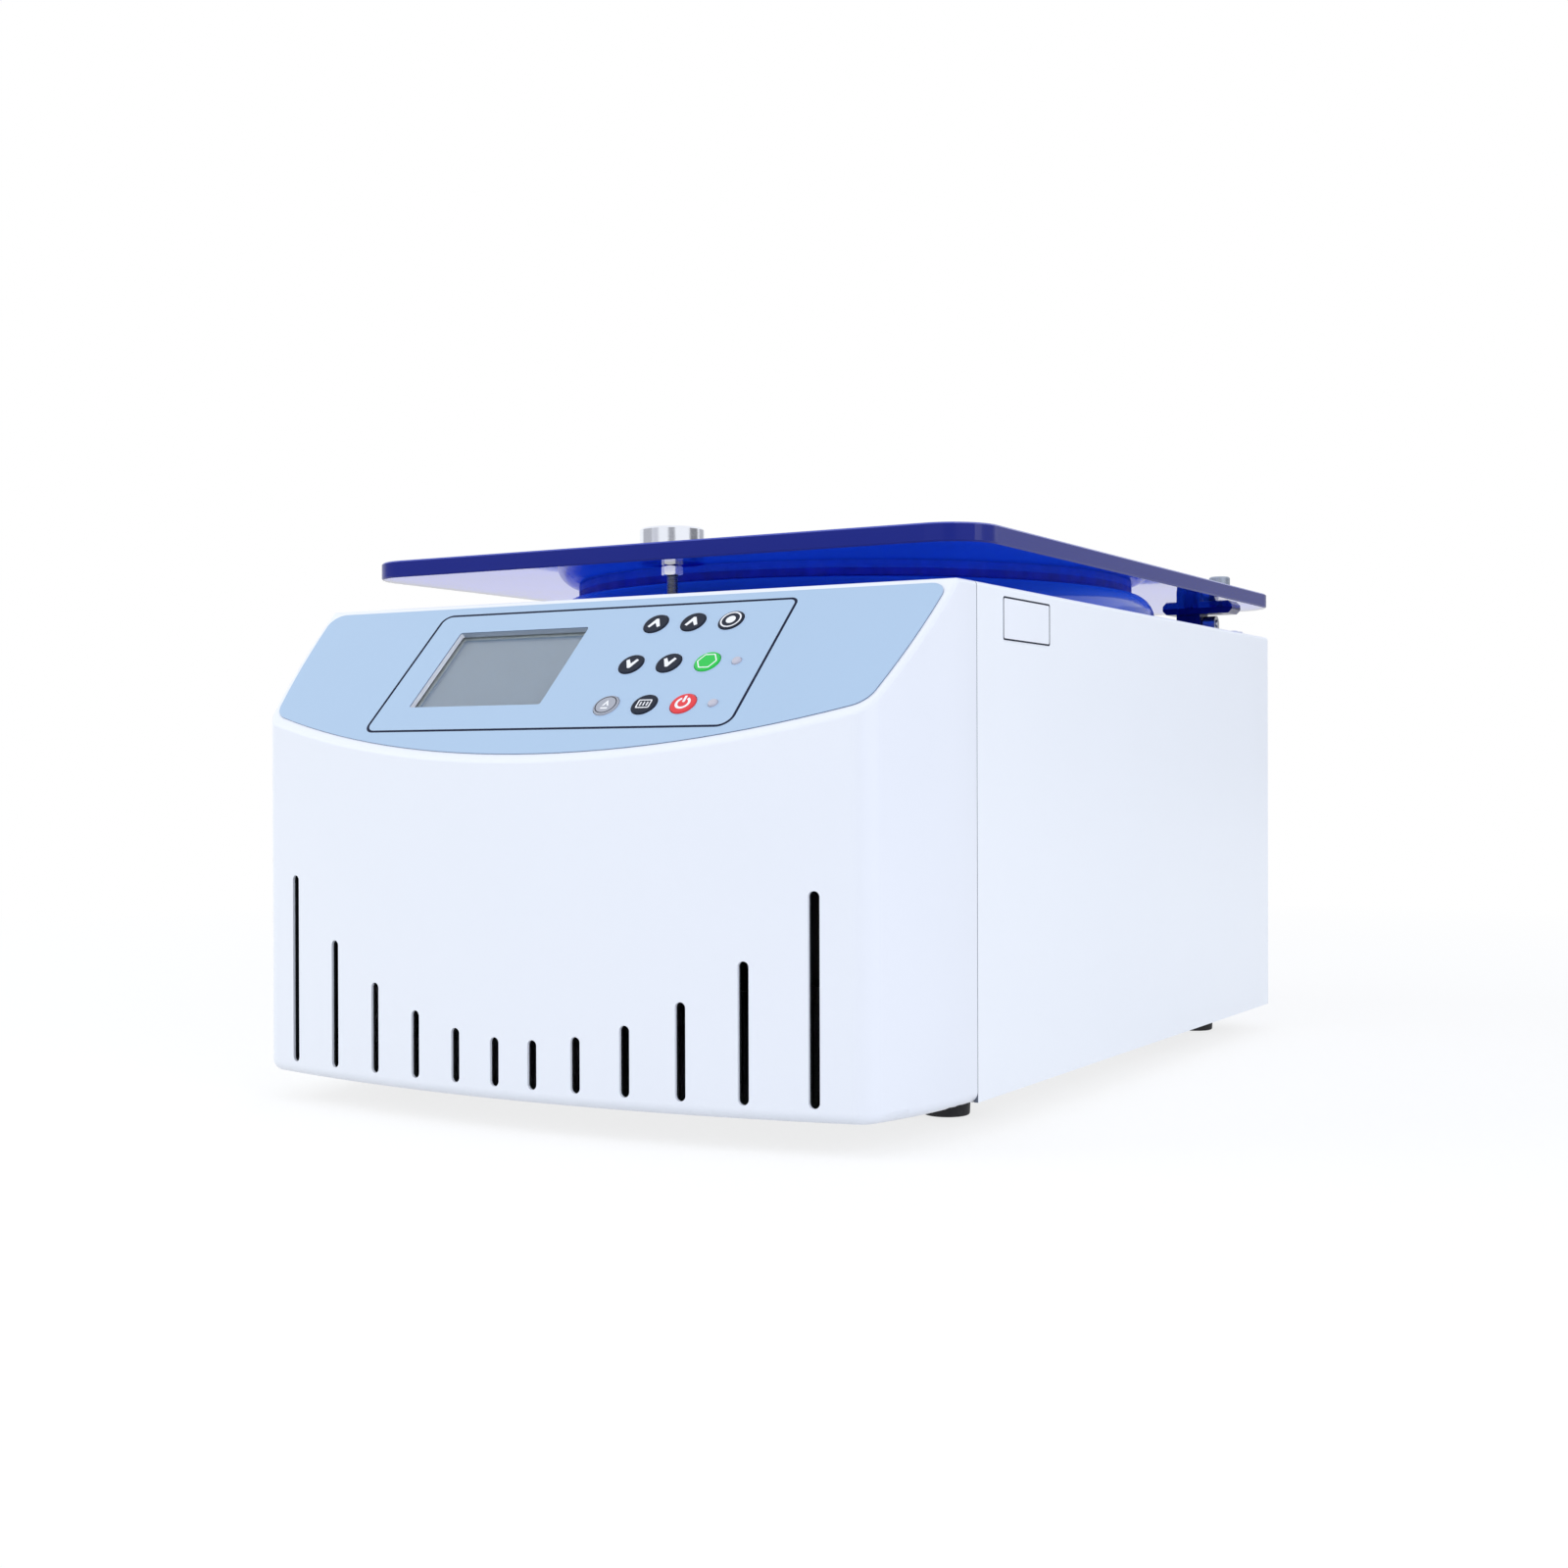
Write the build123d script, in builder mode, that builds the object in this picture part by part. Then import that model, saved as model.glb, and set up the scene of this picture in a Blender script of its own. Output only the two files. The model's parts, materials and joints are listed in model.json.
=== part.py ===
# Bench-top gel card centrifuge: cabinet, see-through lid, swing-out card rotor and its drive
# Millimetres, +Z up, the control panel faces -Y. The origin lies on the bench, under the
# middle of the machine's outer box.
import os
from math import cos, radians, sin, sqrt

from build123d import *

os.makedirs("parts", exist_ok=True)

# Cabinet
FOOT_H = 14.5
BODY_W = 370.0
BODY_H = 236.0
SEAM_Y = -187.0
REAR_Y = 262.0
COVER_T = 2.0
SEAM_GAP = 0.5
BODY_Z = FOOT_H
TOP_Z = FOOT_H + BODY_H
COVER_INNER_X = BODY_W / 2 - COVER_T

# Front moulding: sides curve in from the seam to the corners, and the front is bowed
CORNER_X = 171.0
CORNER_RUN = 79.0
BOW = 22.0
CORNER_R = 13.0
FRONT_WALL = 2.6
EDGE_R = 2.0
BOTTOM_R = 5.0
LIP_W = 8.0
SIDE_R = ((BODY_W / 2 - CORNER_X) ** 2 + CORNER_RUN**2) / (BODY_W - 2 * CORNER_X)
FRONT_Y = SEAM_Y - CORNER_RUN - BOW

# Sloping control panel
SLOPE = radians(44.0)
SLOPE_Y = SEAM_Y - 17.0
PANEL = Plane(
    origin=(0, SLOPE_Y, TOP_Z), x_dir=(1, 0, 0), z_dir=(0, -sin(SLOPE), cos(SLOPE))
)
OVERLAY_T = 0.5
OVERLAY_MARGIN = 3.4
OVERLAY_CORNER_R = 8.0

# Keys, lamps and display, as distances across and down the panel
KEY_X0 = 34.5
KEY_PITCH_X = 20.9
KEY_ROWS_DOWN = (23.5, 52.5, 80.8)
KEY_R = 6.5
KEY_CLEARANCE = 0.2
KEY_PROUD = 1.3
KEY_TRAVEL = 0.8
LAMP_X = 91.9
LAMP_R = 2.4
LAMP_PROUD = 1.2
LAMP_DOME_R = 1.1
WINDOW_W = 79.0
WINDOW_H = 55.5
WINDOW_X = -44.1
WINDOW_DOWN = 50.8
GLASS_T = 1.4
MODULE_GAP = 0.3
BOARD_DEPTH = 12.0
BOARD_T = 1.6

# Cooling slots: their tops lie on an arc that swings up towards both sides
SLOT_W = 5.0
SLOT_LOW = 6.5
SLOT_ARC_R = 190.0
SLOT_ARC_LOW = 28.7
SLOTS_A_SIDE = 6

# Lid
LID_W = 366.0
LID_L = 471.3
LID_T = 9.0
LID_GAP = 19.4
LID_CORNER_R = 26.0
LID_FRONT_Y = SEAM_Y + 3.7
LID_REAR_Y = LID_FRONT_Y + LID_L
LID_Z = TOP_Z + LID_GAP
LID_TOP_Z = LID_Z + LID_T
SEATING = 0.05
SEAL_R = 163.0
SEAL_W = 7.0
SEAL_T = 3.9
KNOB_R = 16.6
KNOB_H = 9.8
STUD_Y = SEAM_Y + 32.6
STUD_R = 3.0
STUD_END_Z = TOP_Z - 24.0
NUT_FLATS = 10.0
NUT_T = 5.0

# Hinges, given for the +X side and mirrored
HINGE_Y = 253.0
HINGE_RISE = 9.5
HINGE_Z = TOP_Z + HINGE_RISE
PIN_R = 2.5
RUNNING_FIT = 0.05
LEAF_X0 = 122.0
LEAF_X1 = 168.0
LEAF_T = 4.0
LEAF_Z = LID_Z - SEATING
LEAF_Y0 = 241.0
LEAF_Y1 = 259.0
BLOCK_X0 = 130.0
BLOCK_X1 = 145.5
BLOCK_R = 8.2
EAR_X0 = 146.2
EAR_X1 = 154.2
EAR_R = 5.0
BRACKET_X1 = 172.0
BRACKET_T = 2.5
CAP_X = 139.0
TOP_NUT_X = 158.0

# Chamber
CHAMBER_Y = 43.0
BOWL_R = 148.5
BOWL_T = 1.5
BOWL_FLOOR_Z = 134.0
BOWL_CORNER_R = 16.0
FLANGE_R = 157.0
COLLAR_R = 176.0
COLLAR_H = 15.3
COLLAR_TOP_R = 13.0

# Rotor
PIVOT_Z = 200.0
PIVOT_R = 93.0
HOLDERS = 6
HOLDER_W = 76.0
HOLDER_T = 20.0
HOLDER_ABOVE = 7.0
HOLDER_BELOW = 44.0
CARD_SLOT_W = 71.0
CARD_SLOT_T = 7.2
CARD_RIB = 1.6
HOLDER_FLOOR = 2.5
YOKE_R = 108.0
YOKE_T = 12.0
YOKE_BAY_HALF = 39.5
YOKE_BAY_IN = 79.0
TRUNNION_R = 2.5
TRUNNION_L = 6.5
HUB_R = 30.0
HUB_Z = 172.0
SHAFT_R = 6.0

# Motor and its mounting
MOTOR_R = 48.0
MOTOR_Z = 40.0
MOTOR_TOP_Z = 116.0
MOTOR_WALL = 4.0
PLATE_T = 4.0
PLATE_HALF = 95.0
POST_OFFSET = 80.0
POST_R = 7.0
DAMPER_R = 11.0
DAMPER_T = 16.0
BEARING_R = 16.0
BEARING_T = 9.0
BASE_T = 2.5
BASE_TOP_Z = BODY_Z + BASE_T

# Rear panel
PANEL_T = 2.0
PANEL_IN_Y = 258.0
PANEL_OUT_Y = PANEL_IN_Y + PANEL_T
FAN_X = 95.0
FAN_Z = 100.0
FAN_SIZE = 80.0
FAN_DEPTH = 25.0
FAN_DUCT_R = 38.0
INLET_X = -120.0
INLET_Z = 60.0
SWITCH_X = -120.0
SWITCH_Z = 100.0
FUSE_X = -80.0
FUSE_Z = 60.0


def side_x(y, inset=0.0):
    """Half width of the front moulding at a given y, drawn in by an inset."""
    return BODY_W / 2 - SIDE_R + sqrt((SIDE_R - inset) ** 2 - (SEAM_Y - y) ** 2)


def front_prism(inset, low_z, high_z):
    """Upright block on the plan of the front moulding, drawn in by an inset."""
    corner_y = SEAM_Y - CORNER_RUN + inset
    middle_y = (SEAM_Y + corner_y) / 2
    half_plan = [(side_x(y, inset), y) for y in (SEAM_Y, middle_y, corner_y)]
    with BuildPart() as prism:
        with BuildSketch(Plane.XY.offset(low_z)) as plan:
            with BuildLine():
                left = ThreePointArc(*[(-x, y) for x, y in half_plan])
                bow = ThreePointArc(left @ 1, (0, corner_y - BOW), half_plan[2])
                right = ThreePointArc(*reversed(half_plan))
                Line(right @ 1, left @ 0)
            make_face()
            fillet(plan.vertices().sort_by(Axis.Y)[:2], CORNER_R - inset)
        extrude(amount=high_z - low_z)
    return prism.part


def slope_wedge(inset):
    """Everything above the sloping panel, lowered by an inset."""
    reach_up = 40.0
    reach_down = 170.0
    edge_y = SLOPE_Y + inset * sin(SLOPE)
    edge_z = TOP_Z - inset * cos(SLOPE)
    high = (edge_y + reach_up * cos(SLOPE), edge_z + reach_up * sin(SLOPE))
    low = (edge_y - reach_down * cos(SLOPE), edge_z - reach_down * sin(SLOPE))
    with BuildPart() as wedge:
        with BuildSketch(Plane.YZ):
            with BuildLine():
                Polyline(high, low, (low[0], high[1]), close=True)
            make_face()
        extrude(amount=BODY_W, both=True)
    return wedge.part


def bottom_outline(part):
    """Lowest edges of a block on the front plan, without the straight one at the seam."""
    lowest = part.edges().group_by(Axis.Z)[0]
    return lowest.filter_by(lambda e: abs(e.center().Y - SEAM_Y) > 0.01)


def is_slope(face):
    """True for a flat face that lies along the sloping panel."""
    normal = face.normal_at()
    return abs(normal.Z - cos(SLOPE)) < 0.01 and normal.Y < 0


def slot_centres():
    """Offsets of the cooling slots from the middle, growing wider apart outwards."""
    return [10.7 + 22.4 * i + i * i for i in range(SLOTS_A_SIDE)]


def slot_top(x):
    """Height of a slot's upper end above the cabinet's floor."""
    return SLOT_ARC_LOW + SLOT_ARC_R - sqrt(SLOT_ARC_R**2 - x**2)


def key_places():
    """Keys row by row from the top left, as points on the panel plane."""
    return [
        (KEY_X0 + KEY_PITCH_X * column, -down)
        for down in KEY_ROWS_DOWN
        for column in range(3)
    ]


LAMP_PLACES = [(LAMP_X, -down) for down in KEY_ROWS_DOWN[1:]]
KEY_NAMES = [
    "key_speed_up",
    "key_time_up",
    "key_ring",
    "key_speed_down",
    "key_time_down",
    "key_start",
    "key_mode",
    "key_store",
    "key_stop",
]

# Front moulding
BOSS_X = 92.0
BOSS_DOWN = (12.0, 88.0)
BOSS_R = 3.5
BOSS_SCREW_R = 1.3
TONGUE_T = 2.0
TONGUE_L = 8.0
TONGUE_LOW_Z = 30.0
TONGUE_X = COVER_INNER_X - 0.3
TONGUE_TOP_Z = TOP_Z - COVER_T - 0.3

front_skin = front_prism(0, BODY_Z, TOP_Z)
front_hollow = front_prism(FRONT_WALL, BODY_Z + FRONT_WALL, TOP_Z - FRONT_WALL)
front_mouth = front_prism(LIP_W, BODY_Z - 1, BODY_Z + FRONT_WALL + 1)
inner_wedge = slope_wedge(FRONT_WALL)
outer_wedge = slope_wedge(0)

with BuildPart() as hollow:
    add(front_hollow)
    fillet(bottom_outline(hollow), BOTTOM_R - FRONT_WALL)
    add(inner_wedge, mode=Mode.SUBTRACT)

with BuildPart() as front_panel:
    add(front_skin)
    fillet(bottom_outline(front_panel), BOTTOM_R)
    add(outer_wedge, mode=Mode.SUBTRACT)
    slope_edges = front_panel.faces().filter_by(is_slope)[0].edges()
    top_face = front_panel.faces().sort_by(Axis.Z)[-1]
    side_edges = top_face.edges().filter_by(lambda e: abs(e.tangent_at(0.5).X) < 0.9)
    fillet(slope_edges + side_edges, EDGE_R)
    add(hollow.part, mode=Mode.SUBTRACT)
    add(front_mouth, mode=Mode.SUBTRACT)
    with BuildSketch(Plane.XZ.offset(-FRONT_Y + 5)):
        for slot_x in slot_centres():
            low = BODY_Z + SLOT_LOW
            high = BODY_Z + slot_top(slot_x)
            with Locations((-slot_x, (low + high) / 2), (slot_x, (low + high) / 2)):
                SlotOverall(high - low, SLOT_W, rotation=90)
    extrude(amount=-(BOW + 16), mode=Mode.SUBTRACT)
    with BuildSketch(Plane.XZ.offset(-(SEAM_Y - 4))):
        with Locations((0, (TONGUE_LOW_Z + TONGUE_TOP_Z) / 2)):
            Rectangle(2 * TONGUE_X, TONGUE_TOP_Z - TONGUE_LOW_Z)
        with Locations((0, (TONGUE_LOW_Z + TONGUE_TOP_Z - TONGUE_T) / 2)):
            Rectangle(
                2 * (TONGUE_X - TONGUE_T),
                TONGUE_TOP_Z - TONGUE_T - TONGUE_LOW_Z,
                mode=Mode.SUBTRACT,
            )
    extrude(amount=-(4 + TONGUE_L))
    with BuildSketch(PANEL.offset(-BOARD_DEPTH)):
        for boss_down in BOSS_DOWN:
            with Locations((-BOSS_X, -boss_down), (BOSS_X + 10, -boss_down)):
                Circle(BOSS_R)
                Circle(BOSS_SCREW_R, mode=Mode.SUBTRACT)
    extrude(amount=BOARD_DEPTH - FRONT_WALL + 0.5)
    with BuildSketch(PANEL.offset(5)):
        with Locations(*key_places()):
            Circle(KEY_R + KEY_CLEARANCE)
        with Locations(*LAMP_PLACES):
            Circle(LAMP_R + 0.1)
        with Locations((WINDOW_X, -WINDOW_DOWN)):
            RectangleRounded(WINDOW_W, WINDOW_H, 1.5)
    extrude(amount=-(5 + FRONT_WALL + 1), mode=Mode.SUBTRACT)
front_panel.part.label = "front_panel"
export_step(front_panel.part, "parts/front_panel.step")

# Printed panel overlay, a thin sheet on the slope that keeps a margin to its edges
def panel_down(y):
    """Distance down the slope of the point at a given y."""
    return (SLOPE_Y - y) / cos(SLOPE)


overlay_low_y = SEAM_Y - CORNER_RUN + OVERLAY_MARGIN
overlay_side = [
    (side_x(y, OVERLAY_MARGIN), -panel_down(y))
    for y in (
        SLOPE_Y - OVERLAY_MARGIN * cos(SLOPE),
        (SLOPE_Y + overlay_low_y) / 2,
        overlay_low_y,
    )
]
with BuildPart() as control_overlay:
    with BuildSketch(PANEL) as sheet:
        with BuildLine():
            left = ThreePointArc(*[(-x, up) for x, up in overlay_side])
            lowest = -panel_down(FRONT_Y + OVERLAY_MARGIN)
            bow = ThreePointArc(left @ 1, (0, lowest), overlay_side[2])
            right = ThreePointArc(*reversed(overlay_side))
            Line(right @ 1, left @ 0)
        make_face()
        fillet(sheet.vertices().sort_by(Axis.Y)[-2:], OVERLAY_CORNER_R)
        fillet(sheet.vertices().sort_by(Axis.Y)[:2], CORNER_R)
    extrude(amount=OVERLAY_T)
    with BuildSketch(PANEL.offset(5)):
        with Locations(*key_places()):
            Circle(KEY_R + KEY_CLEARANCE)
        with Locations(*LAMP_PLACES):
            Circle(LAMP_R + 0.1)
        with Locations((WINDOW_X, -WINDOW_DOWN)):
            RectangleRounded(WINDOW_W, WINDOW_H, 1.5)
    extrude(amount=-10, mode=Mode.SUBTRACT)
control_overlay.part.label = "control_overlay"
export_step(control_overlay.part, "parts/control_overlay.step")

# Keys: a low domed cap, a flange that stops it behind the wall and a stem on the switch
KEY_FLANGE_R = 7.9
KEY_FLANGE_T = 1.0
KEY_STEM_R = 2.0
KEY_STEM_END = 9.2
KEY_GAP = 0.2
KEY_DOME_R = 0.8

for key_name, place in zip(KEY_NAMES, key_places()):
    with BuildPart() as key:
        with BuildSketch(PANEL.offset(-FRONT_WALL - KEY_GAP)):
            with Locations(place):
                Circle(KEY_R)
        extrude(amount=FRONT_WALL + KEY_GAP + KEY_PROUD)
        fillet(key.edges().sort_by(Axis.Z)[-1], KEY_DOME_R)
        with BuildSketch(PANEL.offset(-FRONT_WALL - KEY_GAP - KEY_FLANGE_T)):
            with Locations(place):
                Circle(KEY_FLANGE_R)
        extrude(amount=KEY_FLANGE_T)
        with BuildSketch(PANEL.offset(-KEY_STEM_END)):
            with Locations(place):
                Circle(KEY_STEM_R)
        extrude(amount=KEY_STEM_END - FRONT_WALL - KEY_GAP)
    key.part.label = key_name
    export_step(key.part, f"parts/{key_name}.step")

# Two indicator lenses, pushed in from behind
with BuildPart() as status_lamps:
    with BuildSketch(PANEL.offset(-FRONT_WALL)):
        with Locations(*LAMP_PLACES):
            Circle(LAMP_R)
    extrude(amount=FRONT_WALL + OVERLAY_T + LAMP_PROUD)
    fillet(status_lamps.faces().filter_by(is_slope).sort_by(Axis.Z)[-1].edges(), LAMP_DOME_R)
    fillet(status_lamps.faces().filter_by(is_slope).sort_by(Axis.Z)[0].edges(), LAMP_DOME_R)
    with BuildSketch(PANEL.offset(-FRONT_WALL - 1)):
        with Locations(*LAMP_PLACES):
            Circle(LAMP_R + 1)
    extrude(amount=1)
status_lamps.part.label = "status_lamps"
export_step(status_lamps.part, "parts/status_lamps.step")

# Display: a clear pane behind the opening, and the module that it covers
MODULE_MARGIN = 5.0
MODULE_T = 5.0
with BuildPart() as display_window:
    with BuildSketch(PANEL.offset(-FRONT_WALL - GLASS_T)):
        with Locations((WINDOW_X, -WINDOW_DOWN)):
            RectangleRounded(WINDOW_W + 6, WINDOW_H + 6, 2)
    extrude(amount=GLASS_T)
display_window.part.label = "display_window"
export_step(display_window.part, "parts/display_window.step")

with BuildPart() as display_module:
    with BuildSketch(PANEL.offset(-FRONT_WALL - GLASS_T - MODULE_GAP - MODULE_T)):
        with Locations((WINDOW_X, -WINDOW_DOWN)):
            Rectangle(WINDOW_W + 2 * MODULE_MARGIN, WINDOW_H + 2 * MODULE_MARGIN)
    extrude(amount=MODULE_T)
    chamfer(display_module.faces().filter_by(is_slope)[0].edges(), 0.6)
display_module.part.label = "display_module"
export_step(display_module.part, "parts/display_module.step")

# Control board with a push switch under each key
SWITCH_BODY = 6.0
SWITCH_T = 1.4
PLUNGER_R = 1.7
PLUNGER_T = 0.4
with BuildPart() as control_board:
    with BuildSketch(PANEL.offset(-BOARD_DEPTH - BOARD_T)):
        with Locations((5, -50)):
            Rectangle(206, 88)
        for boss_down in BOSS_DOWN:
            with Locations((-BOSS_X, -boss_down), (BOSS_X + 10, -boss_down)):
                Circle(BOSS_SCREW_R, mode=Mode.SUBTRACT)
    extrude(amount=BOARD_T)
    with BuildSketch(PANEL.offset(-BOARD_DEPTH)):
        with Locations(*key_places()):
            Rectangle(SWITCH_BODY, SWITCH_BODY)
    extrude(amount=SWITCH_T)
    with BuildSketch(PANEL.offset(-BOARD_DEPTH + SWITCH_T)):
        with Locations(*key_places()):
            Circle(PLUNGER_R)
    extrude(amount=PLUNGER_T)
    with BuildSketch(PANEL.offset(-BOARD_DEPTH - BOARD_T)):
        with Locations((-60, -40), (-20, -60), (50, -40)):
            Rectangle(20, 16)
        with Locations((85, -70), (85, -30)):
            Rectangle(10, 26)
    extrude(amount=-3)
control_board.part.label = "control_board"
export_step(control_board.part, "parts/control_board.step")

# Cover: one folded sheet for both sides and the top, with the chamber opening in it
COVER_HOLE_R = 151.0
STUD_HOLE_R = 5.5
BRACKET_SCREWS = [
    (side * x, HINGE_Y + dy) for side in (-1, 1) for x in (160.0, 167.0) for dy in (-5.0, 5.0)
]
with BuildPart() as body_cover:
    with BuildSketch(Plane.XZ.offset(-(SEAM_Y + SEAM_GAP))):
        with BuildLine():
            Polyline(
                (-BODY_W / 2, BODY_Z),
                (-BODY_W / 2, TOP_Z),
                (BODY_W / 2, TOP_Z),
                (BODY_W / 2, BODY_Z),
                (COVER_INNER_X, BODY_Z),
                (COVER_INNER_X, TOP_Z - COVER_T),
                (-COVER_INNER_X, TOP_Z - COVER_T),
                (-COVER_INNER_X, BODY_Z),
                close=True,
            )
        make_face()
    extrude(amount=-(REAR_Y - SEAM_Y - SEAM_GAP))
    long_edges = body_cover.edges().filter_by(Axis.Y).group_by(Axis.Z)[-1]
    fillet(long_edges, EDGE_R)
    with BuildSketch(Plane.XY.offset(TOP_Z + 1)):
        with Locations((0, CHAMBER_Y)):
            Circle(COVER_HOLE_R)
        with Locations((0, STUD_Y)):
            Circle(STUD_HOLE_R + 1)
        with Locations(*BRACKET_SCREWS):
            Circle(1.6)
    extrude(amount=-(COVER_T + 2), mode=Mode.SUBTRACT)
body_cover.part.label = "body_cover"
export_step(body_cover.part, "parts/body_cover.step")

# Base plate: a steel tray that carries the feet, the posts and the boards
FEET = [(x, y) for x in (-148.0, 148.0) for y in (SEAM_Y + 45.0, SEAM_Y + 412.0)]
POSTS = [
    (x, CHAMBER_Y + y) for x in (-POST_OFFSET, POST_OFFSET) for y in (-POST_OFFSET, POST_OFFSET)
]
BASE_CLEAR = 0.4
BASE_X = COVER_INNER_X - BASE_CLEAR
FLANGE_H = 12.0
FOOT_SCREW_R = 2.5
base_prow = front_prism(LIP_W + BASE_CLEAR, BODY_Z, BASE_TOP_Z)
with BuildPart() as base_plate:
    add(base_prow)
    with BuildSketch(Plane.XY.offset(BODY_Z)):
        with Locations((0, (SEAM_Y + PANEL_IN_Y) / 2)):
            Rectangle(2 * BASE_X, PANEL_IN_Y - SEAM_Y)
    extrude(amount=BASE_T)
    flange_y = (SEAM_Y + TONGUE_L + 4, PANEL_IN_Y - 6)
    with BuildSketch(Plane.XY.offset(BASE_TOP_Z)):
        with Locations(
            (BASE_X - 1, sum(flange_y) / 2),
            (-BASE_X + 1, sum(flange_y) / 2),
        ):
            Rectangle(2, flange_y[1] - flange_y[0])
    extrude(amount=FLANGE_H)
    with BuildSketch(Plane.XY.offset(BODY_Z - 1)):
        with Locations(*FEET):
            Circle(FOOT_SCREW_R + 0.2)
    extrude(amount=BASE_T + 2, mode=Mode.SUBTRACT)
base_plate.part.label = "base_plate"
export_step(base_plate.part, "parts/base_plate.step")

# Feet: four tapered rubber buffers, and the screws that hold them
FOOT_R = 12.0
FOOT_HEAD_R = 5.0
FOOT_HEAD_T = 3.5
FOOT_RECESS = 6.0
FOOT_TAPER = -3.0
with BuildPart() as feet:
    with BuildSketch(Plane.XY):
        with Locations(*FEET):
            Circle(FOOT_R - 0.8)
    extrude(amount=FOOT_H, taper=FOOT_TAPER)
    fillet(feet.edges().group_by(Axis.Z)[0], 1.0)
    with BuildSketch(Plane.XY):
        with Locations(*FEET):
            Circle(FOOT_HEAD_R + 0.5)
    extrude(amount=FOOT_RECESS, mode=Mode.SUBTRACT)
    with BuildSketch(Plane.XY):
        with Locations(*FEET):
            Circle(FOOT_SCREW_R + 0.2)
    extrude(amount=FOOT_H, mode=Mode.SUBTRACT)
feet.part.label = "feet"
export_step(feet.part, "parts/feet.step")

FOOT_NUT_T = 4.0
FOOT_SOCKET_FLATS = 4.0
with BuildPart() as foot_screws:
    with BuildSketch(Plane.XY.offset(FOOT_RECESS - FOOT_HEAD_T)):
        with Locations(*FEET):
            Circle(FOOT_HEAD_R)
    extrude(amount=FOOT_HEAD_T)
    with BuildSketch(Plane.XY.offset(FOOT_RECESS - FOOT_HEAD_T)):
        with Locations(*FEET):
            RegularPolygon(FOOT_SOCKET_FLATS / 2, 6, major_radius=False)
    extrude(amount=FOOT_HEAD_T / 2, mode=Mode.SUBTRACT)
    with BuildSketch(Plane.XY.offset(FOOT_RECESS)):
        with Locations(*FEET):
            Circle(FOOT_SCREW_R)
    extrude(amount=BASE_TOP_Z + FOOT_NUT_T + 1 - FOOT_RECESS)
    with BuildSketch(Plane.XY.offset(BASE_TOP_Z)):
        with Locations(*FEET):
            RegularPolygon(FOOT_HEAD_R - 0.6, 6, major_radius=False)
    extrude(amount=FOOT_NUT_T)
foot_screws.part.label = "foot_screws"
export_step(foot_screws.part, "parts/foot_screws.step")

# Blank rating plate on the right-hand side of the cover
PLATE_Y0 = SEAM_Y + 28.4
PLATE_L = 56.6
PLATE_LOW = 210.5
PLATE_H = 21.0
with BuildPart() as rating_plate:
    with BuildSketch(Plane.YZ.offset(BODY_W / 2)):
        with Locations((PLATE_Y0 + PLATE_L / 2, BODY_Z + PLATE_LOW + PLATE_H / 2)):
            RectangleRounded(PLATE_L, PLATE_H, 1.5)
    extrude(amount=0.4)
rating_plate.part.label = "rating_plate"
export_step(rating_plate.part, "parts/rating_plate.step")

# Chamber bowl: a spun steel pan hung from the cover by its rim, open in the middle
SHAFT_HOLE_R = 24.0
chamber_section = Plane(origin=(0, CHAMBER_Y, 0), x_dir=(1, 0, 0), z_dir=(0, -1, 0))
chamber_axis = Axis((0, CHAMBER_Y, 0), (0, 0, 1))
with BuildPart() as chamber_bowl:
    with BuildSketch(chamber_section) as section:
        with BuildLine():
            Polyline(
                (SHAFT_HOLE_R, BOWL_FLOOR_Z - BOWL_T),
                (BOWL_R + BOWL_T, BOWL_FLOOR_Z - BOWL_T),
                (BOWL_R + BOWL_T, TOP_Z),
                (FLANGE_R, TOP_Z),
                (FLANGE_R, TOP_Z + BOWL_T),
                (BOWL_R, TOP_Z + BOWL_T),
                (BOWL_R, BOWL_FLOOR_Z),
                (SHAFT_HOLE_R, BOWL_FLOOR_Z),
                close=True,
            )
        make_face()
        rim_corner = section.vertices().group_by(Axis.Y)[0].sort_by(Axis.X)[-1]
        fillet(rim_corner, BOWL_CORNER_R + BOWL_T)
        floor_corner = section.vertices().filter_by(
            lambda v: abs(v.X - BOWL_R) < 0.01 and abs(v.Y - BOWL_FLOOR_Z) < 0.01
        )
        fillet(floor_corner, BOWL_CORNER_R)
    revolve(axis=chamber_axis)
chamber_bowl.part.label = "chamber_bowl"
export_step(chamber_bowl.part, "parts/chamber_bowl.step")

# Raised collar round the chamber opening, rebated underneath for the bowl's rim
with BuildPart() as chamber_collar:
    with BuildSketch(Plane.XY.offset(TOP_Z)):
        with Locations((0, CHAMBER_Y)):
            Circle(COLLAR_R)
    extrude(amount=COLLAR_H)
    fillet(chamber_collar.edges().group_by(Axis.Z)[-1], COLLAR_TOP_R)
    with BuildSketch(Plane.XY.offset(TOP_Z)):
        with Locations((0, CHAMBER_Y)):
            Circle(BOWL_R + 3)
    extrude(amount=COLLAR_H, mode=Mode.SUBTRACT)
    fillet(chamber_collar.faces().sort_by(Axis.Z)[-1].edges().sort_by(SortBy.RADIUS)[0], 3.0)
    with BuildSketch(Plane.XY.offset(TOP_Z)):
        with Locations((0, CHAMBER_Y)):
            Circle(FLANGE_R + 0.5)
    extrude(amount=BOWL_T + 0.2, mode=Mode.SUBTRACT)
chamber_collar.part.label = "chamber_collar"
export_step(chamber_collar.part, "parts/chamber_collar.step")

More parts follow.
